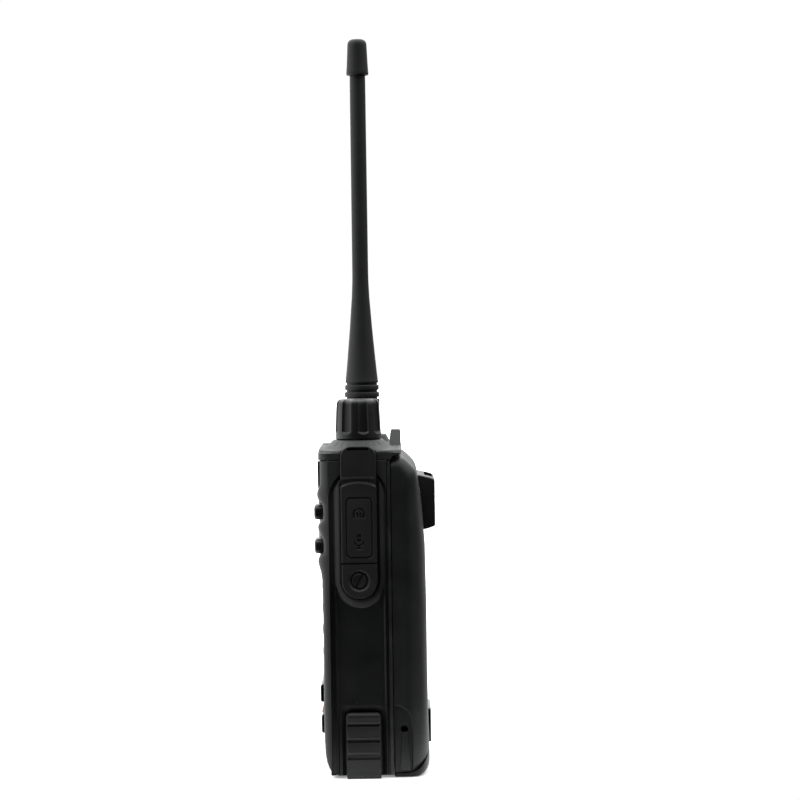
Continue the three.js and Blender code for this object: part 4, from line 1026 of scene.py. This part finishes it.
# outer profile and the line on the flank where the rounding begins, each as (y, z), and how far
# across the back the rounding reaches
BACK_SHAPE = (
    ((5.5, 0.25), (5.5, 0.6), 3.0), ((10.0, 0.1), (8.6, 0.6), 5.0), ((12.8, 0.15), (9.3, 1.0), 8.0),
    ((15.0, 0.95), (9.6, 2.0), 10.0), ((16.5, 2.7), (9.8, 3.6), 11.9), ((17.15, 5.0), (10.0, 6.0), 11.9),
    ((17.15, 10.0), (10.1, 11.0), 11.9), ((17.0, 18.0), (10.0, 19.0), 11.9),
    ((16.85, 36.0), (9.9, 36.0), 11.9), ((16.85, 57.0), (9.8, 57.0), 11.9),
    ((16.6, 77.3), (9.6, 77.0), 11.9), ((15.75, 90.0), (9.4, 89.0), 11.0),
    ((14.85, 97.4), (9.6, 94.6), 8.0), ((14.3, 100.6), (10.0, 97.2), 6.2),
    ((13.6, 102.7), (10.2, 98.8), 5.2), ((12.3, 104.2), (9.8, 100.2), 4.6),
    ((10.3, 106.1), (8.8, 101.6), 4.2), ((9.2, 107.0), (8.2, 102.4), 4.0),
    ((8.45, 107.1), (7.8, 102.8), 3.8), ((7.4, 107.05), (7.0, 103.0), 3.6),
    ((6.4, 106.85), (6.3, 103.2), 3.4), ((5.5, 106.2), (5.5, 103.2), 3.0),
)

# the same for the lip of the tray, which is fuller round the foot
LIP_SHAPE = (
    ((5.5, 0.04), (5.5, 0.5), 1.0), ((11.0, 0.04), (9.0, 0.5), 1.2), ((13.4, 0.06), (10.4, 0.8), 1.8),
    ((15.2, 0.4), (12.0, 1.8), 5.2), ((16.5, 1.4), (12.0, 3.0), 8.2), ((17.1, 3.0), (11.5, 4.4), 10.0),
    ((17.25, 5.0), (11.0, 6.0), 11.2), ((17.15, 8.0), (10.4, 8.6), 11.9),
) + BACK_SHAPE[6:]


def battery_form(name, inset, shape=BACK_SHAPE):
    outer, inner, reach = [np.array(column, float) for column in zip(*shape)]
    length = np.concatenate(([0], np.cumsum(np.hypot(*np.diff(outer, axis=0).T))))
    fine = np.linspace(0, length[-1], 420)
    kernel = np.hanning(15)
    kernel /= kernel.sum()

    def eased(values):
        raw = np.interp(fine, length, values)
        padded = np.concatenate((2 * raw[0] - raw[7:0:-1], raw, 2 * raw[-1] - raw[-2:-9:-1]))
        return np.convolve(padded, kernel, mode="valid")

    p = np.stack((eased(outer[:, 0]), eased(outer[:, 1])), 1)
    q = np.stack((eased(inner[:, 0]), eased(inner[:, 1])), 1)
    wide = eased(reach)
    out = p - q
    p = p - inset * out / np.linalg.norm(out, axis=1)[:, None]
    p[0, 0] = p[-1, 0] = q[0, 0] = q[-1, 0] = BATTERY_START
    half = BATTERY_HALF - inset
    front = np.stack((np.full(len(q), BATTERY_START + 0.01), q[:, 1]), 1)
    front[[0, -1], 0] = BATTERY_START

    def station(x, flat):
        return np.stack((x, flat[:, 0], flat[:, 1]), 1)

    flank = np.full(len(q), half)
    side = [station(flank, front + (q - front) * t) for t in (0.02, 0.5, 0.97)]
    for t in np.linspace(math.pi / 2, 0, 15):
        side.append(station(half - wide * (1 - math.sin(t)), q + (p - q) * math.cos(t)))
    for share in (0.75, 0.5, 0.25):
        side.append(station((half - wide) * share, p))
    middle = [station(np.zeros(len(q)), p)]
    mirror = [ring * np.array((-1, 1, 1)) for ring in side[::-1]]
    return loft(name, side + middle + mirror)


# the long curve along which the cover ends above the lip of the tray, as (y, z)
SEAM_CURVE = ((5.0, 1.35), (8.0, 1.45), (10.2, 1.6), (12.2, 2.05), (13.9, 2.95), (15.2, 4.1), (16.2, 5.5),
              (16.9, 6.9), (17.6, 8.6), (20.0, 9.2))


def below_seam(name, shift):
    curve = np.array(SEAM_CURVE)
    run = np.linspace(0, len(curve) - 1, 46)
    fine = np.stack([np.interp(run, np.arange(len(curve)), curve[:, k]) for k in (0, 1)], 1)
    fine[:, 1] += shift
    points = np.concatenate((fine, [(20.0, -5.0), (5.0, -5.0)]))
    return flared(name, "X", [(points, -40), (points, 40)])


def side_box(name, side, outline, deep, flare_at, flare):
    """A cutter for one flank, from depth deep outwards."""
    return flared(name, "X", [(outline(0), side * deep), (outline(-flare), side * flare_at),
                              (outline(-flare), side * SIDE_FAR)])


def build_battery():
    cover = battery_form("battery_shell", 0.0)
    tools = [below_seam("below", 0.12)]
    tools.append(box_piece("front_hollow", (-26.6, 2, -3), (26.6, 7.2, 103.6)))
    tools.append(box_piece("hollow", (-24.5, 6, 5), (24.5, 13.9, 97)))
    port_low, port_high = span("charge_port")
    port = rounded_rect(port_low[0] - 0.2, port_high[0] + 0.2, PORT_FOOT - 0.2, PORT_TOP + 0.2, 0.8)
    tools.append(mouth("port_hole", port, "Y", 12, 16.6, 24, 0.2))
    dish = []
    for side in (1, -1):
        bend = [(11.2 - 5.4 * (1 - math.cos(t)), 17.5 + 6.3 * math.sin(t))
                for t in np.linspace(0, math.pi / 2, 12)]
        arch = mitred([(5.8, -4), (11.2, -4)] + bend)
        dish.append(side_box("dish", side, arch, BATTERY_HALF - 0.85, BATTERY_HALF + 0.1, 0.9))
    tools.append(merge("dishes", dish))
    holes = [prism("lanyard", ellipse(*LANYARD_AT, 1.2), "X", side * 25, side * SIDE_FAR)
             for side in (1, -1)]
    tools.append(merge("lanyards", holes))
    combine(cover, tools)
    for side in (1, -1):
        wedge = mitred([(7.3, 2.3), (10.8, 2.3), (9.85, 15.1), (8.3, 15.1)])
        bar = prism("bar", wedge, "X", *sorted((side * 26.8, side * (BATTERY_HALF - 0.12))),
                    (0.0, 0.22) if side > 0 else (0.22, 0.0), 3)
        combine(cover, [bar], "UNION")
    cover.name = "battery_housing"
    hand_in(cover, "battery", ["battery_cover"], "battery_plastic")

    lip = battery_form("lip", 0.03, LIP_SHAPE)
    combine(lip, [below_seam("keep", -0.1)], "INTERSECT")
    plate = box_piece("plate", (-26.3, BATTERY_START - 0.24, 0.15), (26.3, BATTERY_START + 1.4, 105.4))
    combine(lip, [plate], "UNION")
    low, high = span("contact_strip")
    hole = box_piece("contact_hole", (low[0] - 0.3, 0, low[2] - 0.3), (high[0] + 0.3, 9, high[2] + 0.3))
    combine(lip, [hole])
    lip.name = "battery_base"
    hand_in(lip, "battery", ["battery_tray"], "tray_plastic")


build_battery()


# ---- clip bracket and charging contacts ------------------------------------------------------

BRACKET_SCREW_X, BRACKET_SCREW_Z = 10.6, 91.5
CHARGE_PIN_X, CHARGE_PIN_Z = 5, 13.9
REAR_FAR = 26                            # cutters end out here, behind the radio


def build_bracket():
    low, high = span("clip_bracket")
    side = mitred([
        (14.4, 81.6), (16.8, 81.5), (18.4, 81.95), (high[1] - 0.5, 82.5), (high[1] - 0.1, 82.75),
        (high[1], 83.2), (high[1], 97.9), (high[1] - 0.15, 98.4), (high[1] - 0.5, 98.75),
        (18.6, 99.2), (15.4, 100.0), (14.0, 100.2), (12.5, 99.6), (12.5, 82.5),
    ])
    bracket = prism("bracket", side, "X", low[0], high[0], (0.5, 0.5), 3)
    slot = mitred([(17.2, 86.0), (19.3, 86.0), (19.85, 110), (16.5, 110)])
    tools = [prism("slot", slot, "X", -12.3, 5.5), battery_form("form", -0.02)]
    for x in (-BRACKET_SCREW_X, BRACKET_SCREW_X):
        head = ellipse(x, BRACKET_SCREW_Z, 1.9)
        tools.append(mouth("screw_hole", head, "Y", 19.3, high[1] - 0.2, REAR_FAR, 0.2))
        tools.append(prism("bore", ellipse(x, BRACKET_SCREW_Z, 1.15), "Y", 10, REAR_FAR))
    combine(bracket, tools)
    bracket.name = "bracket_body"
    hand_in(bracket, "battery", ["clip_bracket"], "bracket_plastic")


def build_port():
    low, high = span("charge_port")
    outline = rounded_rect(low[0], high[0], PORT_FOOT, PORT_TOP, 0.7)
    port = prism("port", outline, "Y", low[1], high[1], (0.0, 0.3), 3)
    hollow = rounded_rect(low[0] + 1.0, high[0] - 1.0, PORT_FOOT + 1.2, PORT_TOP - 1.2, 0.8)
    tools = [flared("dip", "Y", [(hollow(0), high[1] - 0.55), (hollow(-0.35), high[1] - 0.1),
                                 (hollow(-0.35), REAR_FAR)])]
    for x in (-CHARGE_PIN_X, CHARGE_PIN_X):
        well = ellipse(x, CHARGE_PIN_Z, 2.9)
        tools.append(mouth("well", well, "Y", 15.9, high[1] - 0.65, REAR_FAR, 0.12))
    combine(port, tools)
    port.name = "charge_block"
    hand_in(port, "battery", ["charge_port"], "gloss_plastic")
    for side, x in (("left", -CHARGE_PIN_X), ("right", CHARGE_PIN_X)):
        node = "charge_pin_" + side
        low, high = span(node)
        rim, narrow, wide = (ellipse(x, CHARGE_PIN_Z, radius) for radius in (2.6, 0.9, 1.5))
        pin = prism("charge_pad_" + side, rim, "Y", low[1], high[1], (0.0, 0.25), 4)
        combine(pin, [flared("dent", "Y", [(narrow(), high[1] - 0.18), (wide(), high[1] + 0.02),
                                           (wide(), high[1] + 1)])])
        hand_in(pin, "battery", [node], "gold_contact", sharp=30)


build_bracket()
build_port()


# ---- keys, display and speaker on the front --------------------------------------------------

def crowned_key(name, node, body, finish, radius, crown, bulge, axis="Y", trim=0.0):
    """A key whose face is domed towards the user; the face looks along -Y, or -X for side keys."""
    low, high = span(node)
    a, b = PLANE[axis]
    outline = node_outline(node, axis, -trim, radius, steps=7)
    across = "XYZ".index(axis)
    face, foot = low[across], high[across]
    limit = min(high[a] - low[a], high[b] - low[b]) / 2 - trim - 0.04
    rings = [to_space(axis, outline(0), foot)]
    for t in np.linspace(0, 1, 12):
        angle = t * math.pi / 2
        rings.append(to_space(axis, outline(limit * (1 - math.cos(angle)) ** bulge),
                              face + crown * (1 - math.sin(angle))))
    piece = loft(name, rings)
    hand_in(piece, body, [node], finish, sharp=50)


for key_name in MENU_NAMES:
    crowned_key("menu_button_" + key_name, "menu_key_" + key_name, "menu_" + key_name, "gloss_key",
                1.9, 1.6, 2.2, trim=0.25)
for key_name in PAD_NAMES:
    crowned_key("pad_button_" + key_name, "pad_key_" + key_name, "pad_" + key_name, "key_rubber",
                1.9, 0.45, 0.8)
for key_node, key_body in SIDE_KEYS.items():
    crowned_key(key_node + "_cap", key_node, key_body, "key_rubber", 2.2, 0.9, 0.9, axis="X")


def build_display():
    low, high = span("display_lens")
    lens = prism("lens", lens_outline(0.0), "Y", low[1] + 0.3, high[1], (0.22, 0.0), 3)
    lens.name = "display_window"
    hand_in(lens, "case", ["display_lens"], "gloss_lens")
    screen = rounded_rect(-10.6, 10.6, 76.5, 100.6, 0.8)
    window = prism("screen_window", screen, "Y", low[1] + 0.27, low[1] + 0.6, (0.03, 0.0), 2)
    shade(window.data, 30)
    window.data.materials.append(FINISHES["window_glass"])
    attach(window, "case")


SLOT_PITCH = 3.2                         # between the slots of the speaker grille


def build_grille():
    low, high = span("speaker_grille")
    outline = node_outline("speaker_grille", "Y", 0, 1.5)
    plate = prism("plate", outline, "Y", -18.36, -17.55, (0.15, 0.0), 3)
    for base, top, front in ((23.75, 29.9, low[1]), (13.2, 19.7, low[1] + 0.2)):
        section = mitred([
            (-17.9, base), (-17.9, top), (front + 0.9, top), (front + 0.35, top - 0.25),
            (front + 0.08, top - 0.7), (front, top - 1.3), (front, base + 0.7), (front + 0.12, base + 0.2),
            (front + 0.45, base),
        ])
        bar = prism("bar", section, "X", low[0], high[0], (0.4, 0.4), 4)
        combine(plate, [bar], "UNION")
    slots = []
    for i in range(-4, 5):
        middle = i * SLOT_PITCH
        outline = rounded_rect(middle - 0.95, middle + 0.95, 21.3, 23.1, 0.85)
        slots.append(prism("slot", outline, "Y", FRONT_FAR, -15))
    combine(plate, [merge("slots", slots)])
    plate.name = "grille_plate"
    hand_in(plate, "case", ["speaker_grille"], "gloss_plastic")

    low, high = span("accent_strip")
    outline = node_outline("accent_strip", "Y", 0, 0.42)
    strip = prism("orange_line", outline, "Y", low[1], high[1], (0.2, 0.0), 3)
    hand_in(strip, "case", ["accent_strip"], "orange_plastic", sharp=40)


def build_bezel():
    low, high = span("side_bezel")
    bezel = prism("bezel", node_outline("side_bezel", "X", 0, 3), "X", low[0], high[0], (0.3, 0.0), 3)
    slots = []
    for node in SIDE_KEYS:
        outline = node_outline(node, "X", 0.28, 2.4)
        slots.append(flared("slot", "X", [(outline(-0.2), -33), (outline(-0.2), low[0]),
                                          (outline(0), low[0] + 0.2), (outline(0), -25)]))
    combine(bezel, [merge("slots", slots)])
    bezel.name = "bezel_frame"
    hand_in(bezel, "case", ["side_bezel"], "cover_rubber")


build_display()
build_grille()
build_bezel()


# ---- CAD nodes that stay, with their finishes ------------------------------------------------

KEPT = {
    "chassis_metal": ("rear_chassis",),
    "seal_rubber": ("chassis_seal",),
    "display_glass": ("display_module",),
    "key_rubber": ("keypad_mat",),
    "circuit_board": ("main_board",),
    "dark_steel": ("speaker", "bracket_screw_left", "bracket_screw_right"),
    "bright_steel": ("microphone", "volume_encoder", "chassis_screw_left", "chassis_screw_right",
                     "knob_shaft"),
    "gold_contact": ("antenna_socket", "contact_strip", "antenna_plug"),
    "gloss_plastic": ("jack_block", "terminal_block"),
    "cell_wrap": ("battery_cell_left", "battery_cell_right"),
}


def keep_nodes():
    pairs = [(finish, name) for finish, names in KEPT.items() for name in names]
    for finish, name in pairs:
        node = frame["nodes"][name]
        node.data.materials.clear()
        node.data.materials.append(FINISHES[finish])
        edge = node.modifiers.new("edge", "BEVEL")
        edge.width = 0.12 * MM
        edge.segments = 2
        edge.limit_method = "ANGLE"
        edge.angle_limit = math.radians(35)


keep_nodes()


# ---- studio ----------------------------------------------------------------------------------

# The room is bright above the radio and beyond it, and dark behind the camera.
FRONT_GLOW, REAR_GLOW, BACKDROP_GLOW, CEILING_GLOW = 0.85, 0.10, 0.8, 2.4
DARK_SIDE = 0.012                        # share of the glow that is left behind the camera
FLOOR_REACH = 6000
FLOOR_EDGE, FLOOR_REAR = 52, 60          # the floor ends before the dark sides of the room
FLOOR_Z = -0.02


def add_floor():
    corners = [(-FLOOR_REACH, -FLOOR_REACH), (FLOOR_EDGE, -FLOOR_REACH), (FLOOR_EDGE, FLOOR_REAR),
               (-FLOOR_REACH, FLOOR_REAR)]
    floor = mesh_object("floor", [(x, y, FLOOR_Z) for x, y in corners], [(0, 1, 2, 3)])
    material = surface("floor", rgb(0.86, 0.86, 0.86), rgb(0.88, 0.88, 0.88), (0.7, 0.8), grain=2.0,
                       depth=0.002, sockets={"Emission Color": rgb(1, 1, 1), "Emission Strength": 0.25})
    floor.data.materials.append(material)


def add_world():
    """Light from a graded surround; the camera itself sees plain white."""
    world = bpy.data.worlds.new("studio")
    scene.world = world
    world.use_nodes = True
    world.node_tree.nodes.clear()
    make = Nodes(world.node_tree)
    where = make.add("ShaderNodeTexCoord").outputs["Generated"]
    parts = make.add("ShaderNodeSeparateXYZ", {"Vector": where})
    walls = make.span(parts.outputs["Y"], -0.4, 0.5, FRONT_GLOW, REAR_GLOW)
    backdrop = make.span(parts.outputs["X"], -0.95, -0.6, BACKDROP_GLOW, 0.0)
    ceiling = make.span(parts.outputs["Z"], 0.1, 0.75, 0.0, CEILING_GLOW)
    lit = make.math("ADD", make.math("ADD", walls, backdrop), ceiling)
    open_side = make.span(parts.outputs["X"], 0.35, 0.80, 1.0, DARK_SIDE)
    glow = make.math("MULTIPLY", lit, open_side)
    tent = make.add("ShaderNodeBackground", {"Color": rgb(0.985, 0.99, 1.0), "Strength": glow})
    plain = make.add("ShaderNodeBackground", {"Color": rgb(1, 1, 1), "Strength": 1.02})
    seen = make.add("ShaderNodeLightPath").outputs["Is Camera Ray"]
    both = make.add("ShaderNodeMixShader", {0: seen, 1: tent.outputs[0], 2: plain.outputs[0]})
    make.add("ShaderNodeOutputWorld", {"Surface": both.outputs[0]})
    scene.view_settings.view_transform = "Standard"


add_floor()
add_world()

bpy.context.view_layer.update()
